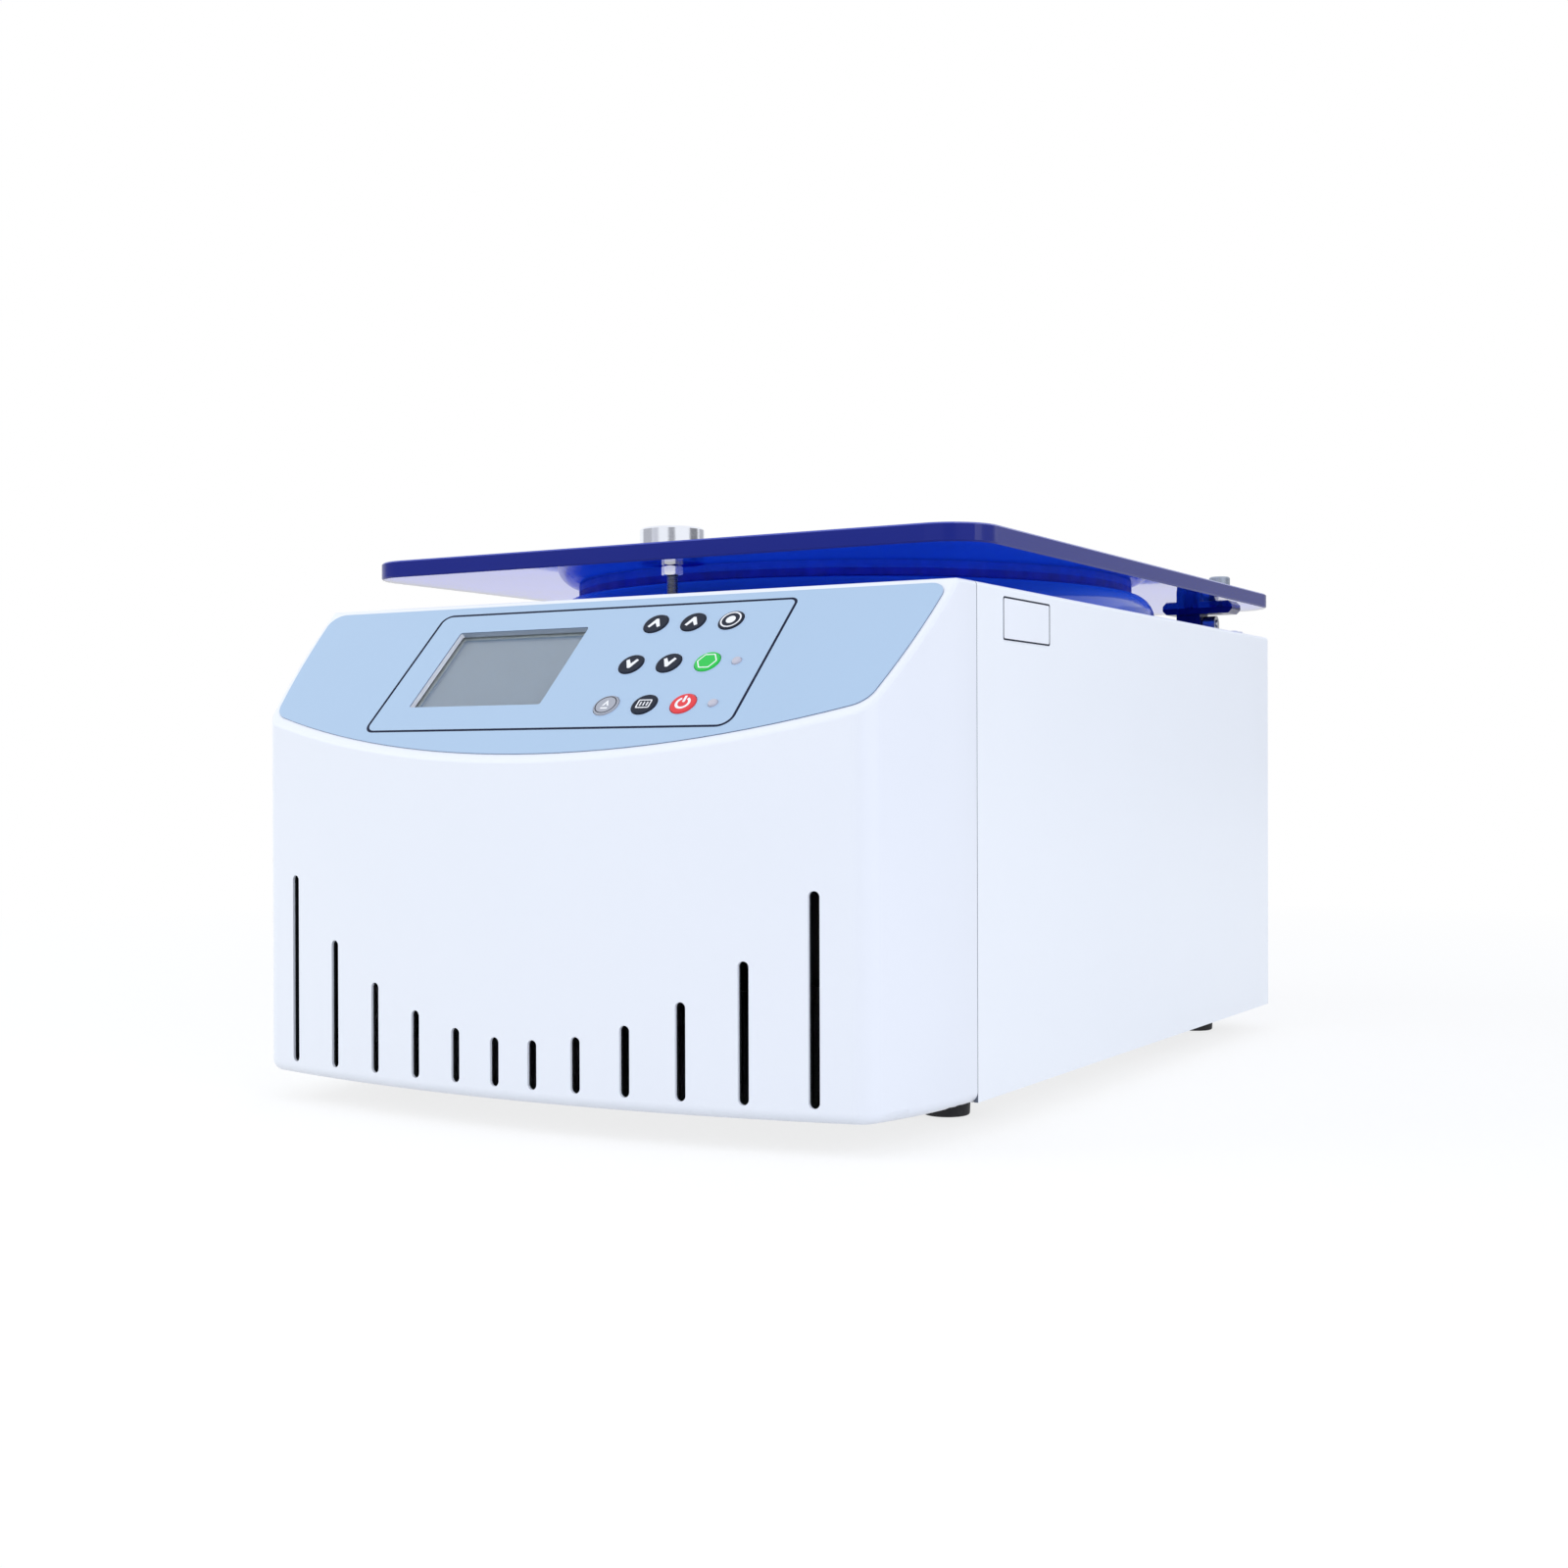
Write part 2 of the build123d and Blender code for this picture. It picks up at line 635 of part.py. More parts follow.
# Lid plate with its seal ring underneath
LID_EDGE = 0.8
LID_BOLT_R = 2.0
LID_BOLTS = [(side * x, HINGE_Y - 6) for side in (-1, 1) for x in (CAP_X, TOP_NUT_X)]
with BuildPart() as lid_plate:
    with BuildSketch(Plane.XY.offset(LID_Z)):
        with Locations((0, (LID_FRONT_Y + LID_REAR_Y) / 2)):
            RectangleRounded(LID_W, LID_L, LID_CORNER_R)
    extrude(amount=LID_T)
    rims = lid_plate.edges().group_by(Axis.Z)
    chamfer(rims[0] + rims[-1], LID_EDGE)
    with BuildSketch(Plane.XY.offset(LID_Z - 1)):
        with Locations((0, STUD_Y)):
            Circle(STUD_R + 0.2)
        with Locations(*LID_BOLTS):
            Circle(LID_BOLT_R + 0.2)
    extrude(amount=LID_T + 2, mode=Mode.SUBTRACT)
lid_plate.part.label = "lid_plate"
export_step(lid_plate.part, "parts/lid_plate.step")

with BuildPart() as lid_seal:
    with BuildSketch(Plane.XY.offset(LID_Z - SEAL_T)):
        with Locations((0, CHAMBER_Y)):
            Circle(SEAL_R)
            Circle(SEAL_R - SEAL_W, mode=Mode.SUBTRACT)
    extrude(amount=SEAL_T - SEATING)
lid_seal.part.label = "lid_seal"
export_step(lid_seal.part, "parts/lid_seal.step")

# Lid knob, and the stud that fixes it and hangs down into the lock
KNOB_BORE = 6.5
GROOVE_R = 1.5
GROOVE_Z = TOP_Z - 19.0
GROOVE_H = 5.0
with BuildPart() as lid_knob:
    with BuildSketch(Plane.XY.offset(LID_TOP_Z + SEATING)):
        with Locations((0, STUD_Y)):
            Circle(KNOB_R)
    extrude(amount=KNOB_H)
    chamfer(lid_knob.edges().group_by(Axis.Z)[-1], 1.0)
    chamfer(lid_knob.edges().group_by(Axis.Z)[0], 0.5)
    with BuildSketch(Plane.XY.offset(LID_TOP_Z + SEATING + KNOB_H)):
        with Locations((0, STUD_Y)):
            Circle(KNOB_R - 4)
    extrude(amount=-0.8, mode=Mode.SUBTRACT)
    with BuildSketch(Plane.XY.offset(LID_TOP_Z)):
        with Locations((0, STUD_Y)):
            Circle(STUD_R + 0.02)
    extrude(amount=KNOB_BORE, mode=Mode.SUBTRACT)
lid_knob.part.label = "lid_knob"
export_step(lid_knob.part, "parts/lid_knob.step")

with BuildPart() as latch_stud:
    with BuildSketch(Plane.XY.offset(STUD_END_Z)):
        with Locations((0, STUD_Y)):
            Circle(STUD_R)
    extrude(amount=LID_TOP_Z + KNOB_BORE - 0.5 - STUD_END_Z)
    chamfer(latch_stud.edges().group_by(Axis.Z)[0], 1.0)
    with BuildSketch(Plane.XY.offset(GROOVE_Z)):
        with Locations((0, STUD_Y)):
            Circle(STUD_R + 1)
            Circle(GROOVE_R, mode=Mode.SUBTRACT)
    extrude(amount=GROOVE_H, mode=Mode.SUBTRACT)
latch_stud.part.label = "latch_stud"
export_step(latch_stud.part, "parts/latch_stud.step")

with BuildPart() as stud_nut:
    with BuildSketch(Plane.XY.offset(LID_Z - SEATING - NUT_T)):
        with Locations((0, STUD_Y)):
            RegularPolygon(NUT_FLATS / 2, 6, major_radius=False, rotation=13)
    extrude(amount=NUT_T)
    with BuildSketch(Plane.XY.offset(LID_Z - SEATING - NUT_T)):
        with Locations((0, STUD_Y)):
            Circle(NUT_FLATS / 2 + 0.1)
    extrude(amount=NUT_T, taper=-20, mode=Mode.INTERSECT)
    with BuildSketch(Plane.XY.offset(LID_Z - SEATING - NUT_T)):
        with Locations((0, STUD_Y)):
            Circle(STUD_R + 0.02)
    extrude(amount=NUT_T, mode=Mode.SUBTRACT)
stud_nut.part.label = "stud_nut"
export_step(stud_nut.part, "parts/stud_nut.step")

# Bush in the cover that guides the stud
with BuildPart() as stud_guide:
    with BuildSketch(Plane.XY.offset(TOP_Z)):
        with Locations((0, STUD_Y)):
            Circle(STUD_HOLE_R + 4)
    extrude(amount=1.0)
    fillet(stud_guide.edges().group_by(Axis.Z)[-1], 0.6)
    with BuildSketch(Plane.XY.offset(TOP_Z)):
        with Locations((0, STUD_Y)):
            Circle(STUD_HOLE_R + 0.9)
    extrude(amount=-COVER_T)
    with BuildSketch(Plane.XY.offset(TOP_Z + 2)):
        with Locations((0, STUD_Y)):
            Circle(STUD_HOLE_R)
    extrude(amount=-(COVER_T + 4), mode=Mode.SUBTRACT)
stud_guide.part.label = "stud_guide"
export_step(stud_guide.part, "parts/stud_guide.step")

# Hinges: a leaf with a knuckle block under the lid turns on a pin held by a bracket
with BuildPart() as hinge_leaves:
    with BuildSketch(Plane.XY.offset(LEAF_Z)):
        with Locations(((LEAF_X0 + LEAF_X1) / 2, (LEAF_Y0 + LEAF_Y1) / 2)):
            Rectangle(LEAF_X1 - LEAF_X0, LEAF_Y1 - LEAF_Y0)
    extrude(amount=-LEAF_T)
    low_ends = hinge_leaves.edges().filter_by(Axis.Y).group_by(Axis.Z)[0]
    chamfer(low_ends, 2.5)
    with BuildSketch(Plane.YZ.offset(BLOCK_X0)):
        with Locations((HINGE_Y, HINGE_Z)):
            Circle(BLOCK_R)
        with Locations((HINGE_Y, (HINGE_Z + LEAF_Z) / 2)):
            Rectangle(2 * BLOCK_R, LEAF_Z - HINGE_Z)
    extrude(amount=BLOCK_X1 - BLOCK_X0)
    with BuildSketch(Plane.YZ.offset(BLOCK_X0)):
        with Locations((HINGE_Y, HINGE_Z)):
            Circle(PIN_R + RUNNING_FIT)
    extrude(amount=BLOCK_X1 - BLOCK_X0, mode=Mode.SUBTRACT)
    with BuildSketch(Plane.XY.offset(LEAF_Z)):
        with Locations(*LID_BOLTS[2:]):
            Circle(LID_BOLT_R + 0.1)
    extrude(amount=-LEAF_T, mode=Mode.SUBTRACT)
    mirror(about=Plane.YZ)
hinge_leaves.part.label = "hinge_leaves"
export_step(hinge_leaves.part, "parts/hinge_leaves.step")

with BuildPart() as hinge_brackets:
    with BuildSketch(Plane.YZ.offset(EAR_X0)):
        with Locations((HINGE_Y, HINGE_Z)):
            Circle(EAR_R)
        with Locations((HINGE_Y, (HINGE_Z + TOP_Z) / 2)):
            Rectangle(2 * EAR_R, HINGE_RISE)
    extrude(amount=EAR_X1 - EAR_X0)
    with BuildSketch(Plane.XY.offset(TOP_Z)):
        with Locations(((EAR_X0 + BRACKET_X1) / 2, HINGE_Y)):
            Rectangle(BRACKET_X1 - EAR_X0, 16)
    extrude(amount=BRACKET_T)
    root_edge = hinge_brackets.edges().filter_by(Axis.Y).filter_by(
        lambda e: abs(e.center().X - EAR_X1) < 0.01 and abs(e.center().Z - TOP_Z - BRACKET_T) < 0.01
    )
    fillet(root_edge, 2.0)
    with BuildSketch(Plane.YZ.offset(EAR_X0)):
        with Locations((HINGE_Y, HINGE_Z)):
            Circle(PIN_R + 0.02)
    extrude(amount=EAR_X1 - EAR_X0, mode=Mode.SUBTRACT)
    with BuildSketch(Plane.XY.offset(TOP_Z - 1)):
        with Locations(*BRACKET_SCREWS[4:]):
            Circle(1.6)
    extrude(amount=BRACKET_T + 2, mode=Mode.SUBTRACT)
    mirror(about=Plane.YZ)
hinge_brackets.part.label = "hinge_brackets"
export_step(hinge_brackets.part, "parts/hinge_brackets.step")

with BuildPart() as hinge_pins:
    with BuildSketch(Plane.YZ.offset(BLOCK_X0 - 1)):
        with Locations((HINGE_Y, HINGE_Z)):
            Circle(PIN_R)
    extrude(amount=EAR_X1 + 1 - BLOCK_X0 + 1)
    chamfer(hinge_pins.edges().filter_by(GeomType.CIRCLE), 0.4)
    mirror(about=Plane.YZ)
hinge_pins.part.label = "hinge_pins"
export_step(hinge_pins.part, "parts/hinge_pins.step")

SCREW_HEAD_R = 2.9
SCREW_HEAD_T = 1.5
CROSS_L = 3.2
CROSS_W = 0.8
with BuildPart() as bracket_screws:
    with BuildSketch(Plane.XY.offset(TOP_Z + BRACKET_T)):
        with Locations(*BRACKET_SCREWS):
            Circle(SCREW_HEAD_R)
    extrude(amount=SCREW_HEAD_T)
    chamfer(bracket_screws.edges().group_by(Axis.Z)[-1], 0.5)
    with BuildSketch(Plane.XY.offset(TOP_Z + BRACKET_T + SCREW_HEAD_T)):
        with Locations(*BRACKET_SCREWS):
            Rectangle(CROSS_L, CROSS_W)
            Rectangle(CROSS_W, CROSS_L)
    extrude(amount=-SCREW_HEAD_T / 2, mode=Mode.SUBTRACT)
    with BuildSketch(Plane.XY.offset(TOP_Z + BRACKET_T)):
        with Locations(*BRACKET_SCREWS):
            Circle(1.5)
    extrude(amount=-(BRACKET_T + COVER_T))
bracket_screws.part.label = "bracket_screws"
export_step(bracket_screws.part, "parts/bracket_screws.step")

# Lid-side fastenings: a domed cap inboard and a plain round nut outboard of each hinge
CAP_R = 4.6
CAP_H = 11.5
TOP_NUT_R = 6.6
TOP_NUT_H = 10.5
with BuildPart() as hinge_caps:
    with BuildSketch(Plane.XY.offset(LID_TOP_Z + SEATING)):
        with Locations(LID_BOLTS[0], LID_BOLTS[2]):
            Circle(CAP_R)
    extrude(amount=CAP_H, taper=4)
    fillet(hinge_caps.edges().group_by(Axis.Z)[-1], 3.0)
    with BuildSketch(Plane.XY.offset(LID_TOP_Z + SEATING)):
        with Locations(LID_BOLTS[0], LID_BOLTS[2]):
            Circle(LID_BOLT_R)
    extrude(amount=-(LID_T + LEAF_T - 1))
hinge_caps.part.label = "hinge_caps"
export_step(hinge_caps.part, "parts/hinge_caps.step")

with BuildPart() as hinge_nuts:
    with BuildSketch(Plane.XY.offset(LID_TOP_Z + SEATING)):
        with Locations(LID_BOLTS[1], LID_BOLTS[3]):
            Circle(TOP_NUT_R)
    extrude(amount=TOP_NUT_H)
    chamfer(hinge_nuts.edges().group_by(Axis.Z)[-1], 0.8)
    with BuildSketch(Plane.XY.offset(LID_TOP_Z + SEATING)):
        with Locations(LID_BOLTS[1], LID_BOLTS[3]):
            Circle(LID_BOLT_R)
    extrude(amount=-(LID_T + LEAF_T - 1))
hinge_nuts.part.label = "hinge_nuts"
export_step(hinge_nuts.part, "parts/hinge_nuts.step")

# Lid lock under the cover: a block with a well for the stud and a bolt driven into its groove
LOCK_X = 22.0
LOCK_Y0 = STUD_Y - 14.0
LOCK_Y1 = STUD_Y + 30.0
LOCK_LOW_Z = TOP_Z - 32.0
LOCK_TOP_Z = TOP_Z - COVER_T
BOLT_W = 8.0
BOLT_T = 3.0
BOLT_Z = GROOVE_Z + GROOVE_H / 2
BOLT_TRAVEL = 2.9
BOLT_REST = 5.0
with BuildPart() as lock_body:
    with BuildSketch(Plane.XY.offset(LOCK_LOW_Z)):
        with Locations((0, (LOCK_Y0 + LOCK_Y1) / 2)):
            Rectangle(2 * LOCK_X, LOCK_Y1 - LOCK_Y0)
    extrude(amount=LOCK_TOP_Z - LOCK_LOW_Z)
    chamfer(lock_body.edges().filter_by(Axis.Z), 2)
    with BuildSketch(Plane.XY.offset(LOCK_TOP_Z)):
        with Locations((0, STUD_Y)):
            Circle(STUD_HOLE_R)
    extrude(amount=-(LOCK_TOP_Z - LOCK_LOW_Z), mode=Mode.SUBTRACT)
    with BuildSketch(Plane.XZ.offset(-STUD_Y)):
        with Locations((0, BOLT_Z)):
            Rectangle(BOLT_W + 0.3, BOLT_T + 0.3)
    extrude(amount=-(LOCK_Y1 - STUD_Y), mode=Mode.SUBTRACT)
lock_body.part.label = "lock_body"
export_step(lock_body.part, "parts/lock_body.step")

with BuildPart() as lock_bolt:
    with BuildSketch(Plane.XZ.offset(-(STUD_Y + BOLT_REST))):
        with Locations((0, BOLT_Z)):
            Rectangle(BOLT_W, BOLT_T)
    extrude(amount=-(LOCK_Y1 + 6 - STUD_Y - BOLT_REST))
    with BuildSketch(Plane.XZ.offset(-(LOCK_Y1 + 4))):
        with Locations((0, BOLT_Z)):
            Rectangle(BOLT_W + 4, BOLT_T + 4)
    extrude(amount=-2)
lock_bolt.part.label = "lock_bolt"
export_step(lock_bolt.part, "parts/lock_bolt.step")

# Motor: a can with its own end flange, hung from a plate that floats on rubber blocks
FLANGE_HOLE_R = 9.0
with BuildPart() as motor_housing:
    with BuildSketch(Plane.XY.offset(MOTOR_Z)):
        with Locations((0, CHAMBER_Y)):
            Circle(MOTOR_R)
    extrude(amount=MOTOR_TOP_Z - MOTOR_Z)
    fillet(motor_housing.edges().group_by(Axis.Z)[0], 6)
    with BuildSketch(Plane.XY.offset(MOTOR_Z + MOTOR_WALL + BEARING_T)):
        with Locations((0, CHAMBER_Y)):
            Circle(MOTOR_R - MOTOR_WALL)
    extrude(
        amount=MOTOR_TOP_Z - MOTOR_Z - 2 * MOTOR_WALL - 2 * BEARING_T, mode=Mode.SUBTRACT
    )
    with BuildSketch(Plane.XY.offset(MOTOR_Z + MOTOR_WALL)):
        with Locations((0, CHAMBER_Y)):
            Circle(BEARING_R + RUNNING_FIT)
    extrude(amount=MOTOR_TOP_Z - MOTOR_Z - 2 * MOTOR_WALL, mode=Mode.SUBTRACT)
    with BuildSketch(Plane.XY.offset(MOTOR_TOP_Z)):
        with Locations((0, CHAMBER_Y)):
            Circle(FLANGE_HOLE_R)
    extrude(amount=-(MOTOR_WALL + 1), mode=Mode.SUBTRACT)
motor_housing.part.label = "motor_housing"
export_step(motor_housing.part, "parts/motor_housing.step")

BEARING_ZS = (MOTOR_Z + MOTOR_WALL, MOTOR_TOP_Z - MOTOR_WALL - BEARING_T)
with BuildPart() as motor_bearings:
    for bearing_z in BEARING_ZS:
        with BuildSketch(Plane.XY.offset(bearing_z)):
            with Locations((0, CHAMBER_Y)):
                Circle(BEARING_R)
                Circle(SHAFT_R + RUNNING_FIT, mode=Mode.SUBTRACT)
        extrude(amount=BEARING_T)
motor_bearings.part.label = "motor_bearings"
export_step(motor_bearings.part, "parts/motor_bearings.step")

# Shaft with its magnet drum between the bearings
DRUM_R = 26.0
DRUM_GAP = 2.0
THREAD_R = 5.0
ROTOR_NUT_H = 14.0
shaft_low_z = MOTOR_Z + MOTOR_WALL + 1
drum_z = BEARING_ZS[0] + BEARING_T + DRUM_GAP
yoke_top_z = PIVOT_Z + YOKE_T / 2
with BuildPart() as motor_shaft:
    with BuildSketch(Plane.XY.offset(shaft_low_z)):
        with Locations((0, CHAMBER_Y)):
            Circle(SHAFT_R)
    extrude(amount=yoke_top_z - shaft_low_z)
    with BuildSketch(Plane.XY.offset(yoke_top_z)):
        with Locations((0, CHAMBER_Y)):
            Circle(THREAD_R)
    extrude(amount=ROTOR_NUT_H - 4)
    with BuildSketch(Plane.XY.offset(drum_z)):
        with Locations((0, CHAMBER_Y)):
            Circle(DRUM_R)
    extrude(amount=BEARING_ZS[1] - DRUM_GAP - drum_z)
motor_shaft.part.label = "motor_shaft"
export_step(motor_shaft.part, "parts/motor_shaft.step")

with BuildPart() as motor_plate:
    with BuildSketch(Plane.XY.offset(MOTOR_TOP_Z)):
        with Locations((0, CHAMBER_Y)):
            RectangleRounded(2 * PLATE_HALF, 2 * PLATE_HALF, 10)
            Circle(FLANGE_HOLE_R, mode=Mode.SUBTRACT)
    extrude(amount=PLATE_T)
motor_plate.part.label = "motor_plate"
export_step(motor_plate.part, "parts/motor_plate.step")

with BuildPart() as motor_dampers:
    with BuildSketch(Plane.XY.offset(MOTOR_TOP_Z - DAMPER_T)):
        with Locations(*POSTS):
            Circle(DAMPER_R)
    extrude(amount=DAMPER_T)
    with BuildSketch(Plane.XY.offset(MOTOR_TOP_Z - DAMPER_T / 2 - 2)):
        with Locations(*POSTS):
            Circle(DAMPER_R + 1)
            Circle(DAMPER_R - 1.5, mode=Mode.SUBTRACT)
    extrude(amount=4, mode=Mode.SUBTRACT)
motor_dampers.part.label = "motor_dampers"
export_step(motor_dampers.part, "parts/motor_dampers.step")

with BuildPart() as motor_posts:
    with BuildSketch(Plane.XY.offset(BASE_TOP_Z)):
        with Locations(*POSTS):
            RegularPolygon(POST_R, 6, major_radius=False)
    extrude(amount=MOTOR_TOP_Z - DAMPER_T - BASE_TOP_Z)
motor_posts.part.label = "motor_posts"
export_step(motor_posts.part, "parts/motor_posts.step")

# Rubber boot between the motor plate and the chamber floor
BOOT_WALL = 3.0
with BuildPart() as shaft_boot:
    boot_h = BOWL_FLOOR_Z + 1.5 - MOTOR_TOP_Z - PLATE_T
    with BuildSketch(Plane.XY.offset(MOTOR_TOP_Z + PLATE_T)):
        with Locations((0, CHAMBER_Y)):
            Circle(SHAFT_HOLE_R - 0.3)
    extrude(amount=boot_h)
    with BuildSketch(Plane.XY.offset(BOWL_FLOOR_Z)):
        with Locations((0, CHAMBER_Y)):
            Circle(SHAFT_HOLE_R + 3)
    extrude(amount=1.5)
    with BuildSketch(Plane.XY.offset(MOTOR_TOP_Z + PLATE_T)):
        with Locations((0, CHAMBER_Y)):
            Circle(SHAFT_HOLE_R - BOOT_WALL)
    extrude(amount=boot_h, mode=Mode.SUBTRACT)
shaft_boot.part.label = "shaft_boot"
export_step(shaft_boot.part, "parts/shaft_boot.step")

# Rotor yoke: a thick plate with a hub and one open bay for each card holder
HOLDER_ANGLES = [360.0 / HOLDERS * k + 30.0 for k in range(HOLDERS)]
yoke_low_z = PIVOT_Z - YOKE_T / 2
pivot_planes = [
    Plane(
        origin=(
            PIVOT_R * cos(radians(a)),
            CHAMBER_Y + PIVOT_R * sin(radians(a)),
            PIVOT_Z,
        ),
        x_dir=(-sin(radians(a)), cos(radians(a)), 0),
        z_dir=(0, 0, 1),
    )
    for a in HOLDER_ANGLES
]
with BuildPart() as rotor_yoke:
    with BuildSketch(Plane.XY.offset(yoke_low_z)):
        with Locations((0, CHAMBER_Y)):
            Circle(YOKE_R)
            with PolarLocations((YOKE_BAY_IN + YOKE_R + 20) / 2, HOLDERS, HOLDER_ANGLES[0]):
                Rectangle(
                    YOKE_R + 20 - YOKE_BAY_IN, 2 * YOKE_BAY_HALF, mode=Mode.SUBTRACT
                )
            with PolarLocations(54, HOLDERS, HOLDER_ANGLES[0]):
                Circle(13, mode=Mode.SUBTRACT)
    extrude(amount=YOKE_T)
    with BuildSketch(Plane.XY.offset(HUB_Z)):
        with Locations((0, CHAMBER_Y)):
            Circle(HUB_R)
    extrude(amount=yoke_low_z - HUB_Z + 1)
    with BuildSketch(Plane.XY.offset(HUB_Z)):
        with Locations((0, CHAMBER_Y)):
            Circle(SHAFT_R + 0.02)
    extrude(amount=yoke_low_z + YOKE_T - HUB_Z, mode=Mode.SUBTRACT)
    for pivot in pivot_planes:
        trunnion_axis = Plane(pivot.origin, x_dir=(0, 0, 1), z_dir=pivot.x_dir)
        with BuildSketch(trunnion_axis.offset(-YOKE_BAY_HALF - TRUNNION_L - 0.5)):
            Circle(TRUNNION_R + RUNNING_FIT)
        extrude(amount=2 * (YOKE_BAY_HALF + TRUNNION_L + 0.5), mode=Mode.SUBTRACT)
rotor_yoke.part.label = "rotor_yoke"
export_step(rotor_yoke.part, "parts/rotor_yoke.step")

with BuildPart() as rotor_nut:
    with BuildSketch(Plane.XY.offset(yoke_top_z)):
        with Locations((0, CHAMBER_Y)):
            Circle(17)
            with PolarLocations(18, 12):
                Circle(2.4, mode=Mode.SUBTRACT)
    extrude(amount=ROTOR_NUT_H)
    chamfer(rotor_nut.faces().sort_by(Axis.Z)[-1].edges(), 0.8)
    with BuildSketch(Plane.XY.offset(yoke_top_z)):
        with Locations((0, CHAMBER_Y)):
            Circle(THREAD_R + 0.02)
    extrude(amount=ROTOR_NUT_H - 3.5, mode=Mode.SUBTRACT)
rotor_nut.part.label = "rotor_nut"
export_step(rotor_nut.part, "parts/rotor_nut.step")

# Card holders: two pockets side by side, with a trunnion at each end
pocket_offset = (CARD_SLOT_T + CARD_RIB) / 2
for number, pivot in enumerate(pivot_planes, start=1):
    trunnion_axis = Plane(pivot.origin, x_dir=(0, 0, 1), z_dir=pivot.x_dir)
    with BuildPart() as card_holder:
        with BuildSketch(pivot.offset(-HOLDER_BELOW)):
            RectangleRounded(HOLDER_W, HOLDER_T, 2)
        extrude(amount=HOLDER_BELOW + HOLDER_ABOVE)
        with BuildSketch(pivot.offset(-HOLDER_BELOW + HOLDER_FLOOR)):
            with Locations((0, -pocket_offset), (0, pocket_offset)):
                Rectangle(CARD_SLOT_W, CARD_SLOT_T)
        extrude(amount=HOLDER_BELOW + HOLDER_ABOVE, mode=Mode.SUBTRACT)
        for start, amount in (
            (-HOLDER_W / 2 - 1.5 - TRUNNION_L, TRUNNION_L + 1.7),
            (HOLDER_W / 2 - 0.2, TRUNNION_L + 1.7),
        ):
            with BuildSketch(trunnion_axis.offset(start)):
                Circle(TRUNNION_R)
            extrude(amount=amount)
    card_holder.part.label = f"card_holder_{number}"
    export_step(card_holder.part, f"parts/card_holder_{number}.step")

# Power supply and drive board on spacers beside the motor
POWER_X = -135.0
POWER_Y = 140.0
POWER_W = 76.0
POWER_L = 150.0
POWER_Z = BASE_TOP_Z + 8.0
power_corners = [
    (POWER_X + sx * (POWER_W / 2 - 5), POWER_Y + sy * (POWER_L / 2 - 5))
    for sx in (-1, 1)
    for sy in (-1, 1)
]
with BuildPart() as power_board:
    with BuildSketch(Plane.XY.offset(BASE_TOP_Z)):
        with Locations(*power_corners):
            Circle(3.5)
    extrude(amount=8)
    with BuildSketch(Plane.XY.offset(POWER_Z)):
        with Locations((POWER_X, POWER_Y)):
            Rectangle(POWER_W, POWER_L)
    extrude(amount=BOARD_T)
    with BuildSketch(Plane.XY.offset(POWER_Z + BOARD_T)):
        with Locations((POWER_X, POWER_Y + 30)):
            Rectangle(42, 36)
        with Locations((POWER_X - 20, POWER_Y - 50), (POWER_X + 4, POWER_Y - 50)):
            Circle(9)
    extrude(amount=30)
    with BuildSketch(Plane.XY.offset(POWER_Z + BOARD_T)):
        with Locations((POWER_X, POWER_Y - 18)):
            for fin in range(7):
                with Locations((-18 + 6 * fin, 0)):
                    Rectangle(2, 30)
            Rectangle(44, 3)
    extrude(amount=22)
power_board.part.label = "power_board"
export_step(power_board.part, "parts/power_board.step")

# Rear panel with the cut-outs for the inlet, switch and fuse, and the fan grille
INLET_W = 27.6
INLET_H = 20.0
SWITCH_W = 21.0
SWITCH_H = 27.5
FUSE_R = 6.2
GRILLE_SLOT = 4.0
GRILLE_PITCH = 7.0
PANEL_HALF_X = COVER_INNER_X - 0.3
REAR_SCREWS = [(x, z) for x in (-174.0, 174.0) for z in (40.0, 130.0, 225.0)]
with BuildPart() as rear_panel:
    with BuildSketch(Plane.XZ.offset(-PANEL_IN_Y)):
        with Locations((0, (BASE_TOP_Z + TOP_Z - COVER_T) / 2)):
            Rectangle(2 * PANEL_HALF_X, TOP_Z - COVER_T - BASE_TOP_Z - 0.6)
        with Locations((INLET_X, INLET_Z)):
            Rectangle(INLET_W + 0.4, INLET_H + 0.4, mode=Mode.SUBTRACT)
        with Locations((SWITCH_X, SWITCH_Z)):
            Rectangle(SWITCH_W + 0.4, SWITCH_H + 0.4, mode=Mode.SUBTRACT)
        with Locations((FUSE_X, FUSE_Z)):
            Circle(FUSE_R + 0.2, mode=Mode.SUBTRACT)
        for row in range(-5, 6):
            reach = sqrt(FAN_DUCT_R**2 - (GRILLE_PITCH * row) ** 2) - 2
            with Locations((FAN_X, FAN_Z + GRILLE_PITCH * row)):
                SlotOverall(2 * reach, GRILLE_SLOT, mode=Mode.SUBTRACT)
        with Locations(*REAR_SCREWS):
            Circle(1.7, mode=Mode.SUBTRACT)
    extrude(amount=-PANEL_T)
    for edge_x in (-PANEL_HALF_X + 1, PANEL_HALF_X - 1):
        with BuildSketch(Plane.XZ.offset(-PANEL_IN_Y)):
            with Locations((edge_x, (BASE_TOP_Z + TOP_Z - COVER_T) / 2)):
                Rectangle(2, TOP_Z - COVER_T - BASE_TOP_Z - 40)
        extrude(amount=4)
rear_panel.part.label = "rear_panel"
export_step(rear_panel.part, "parts/rear_panel.step")

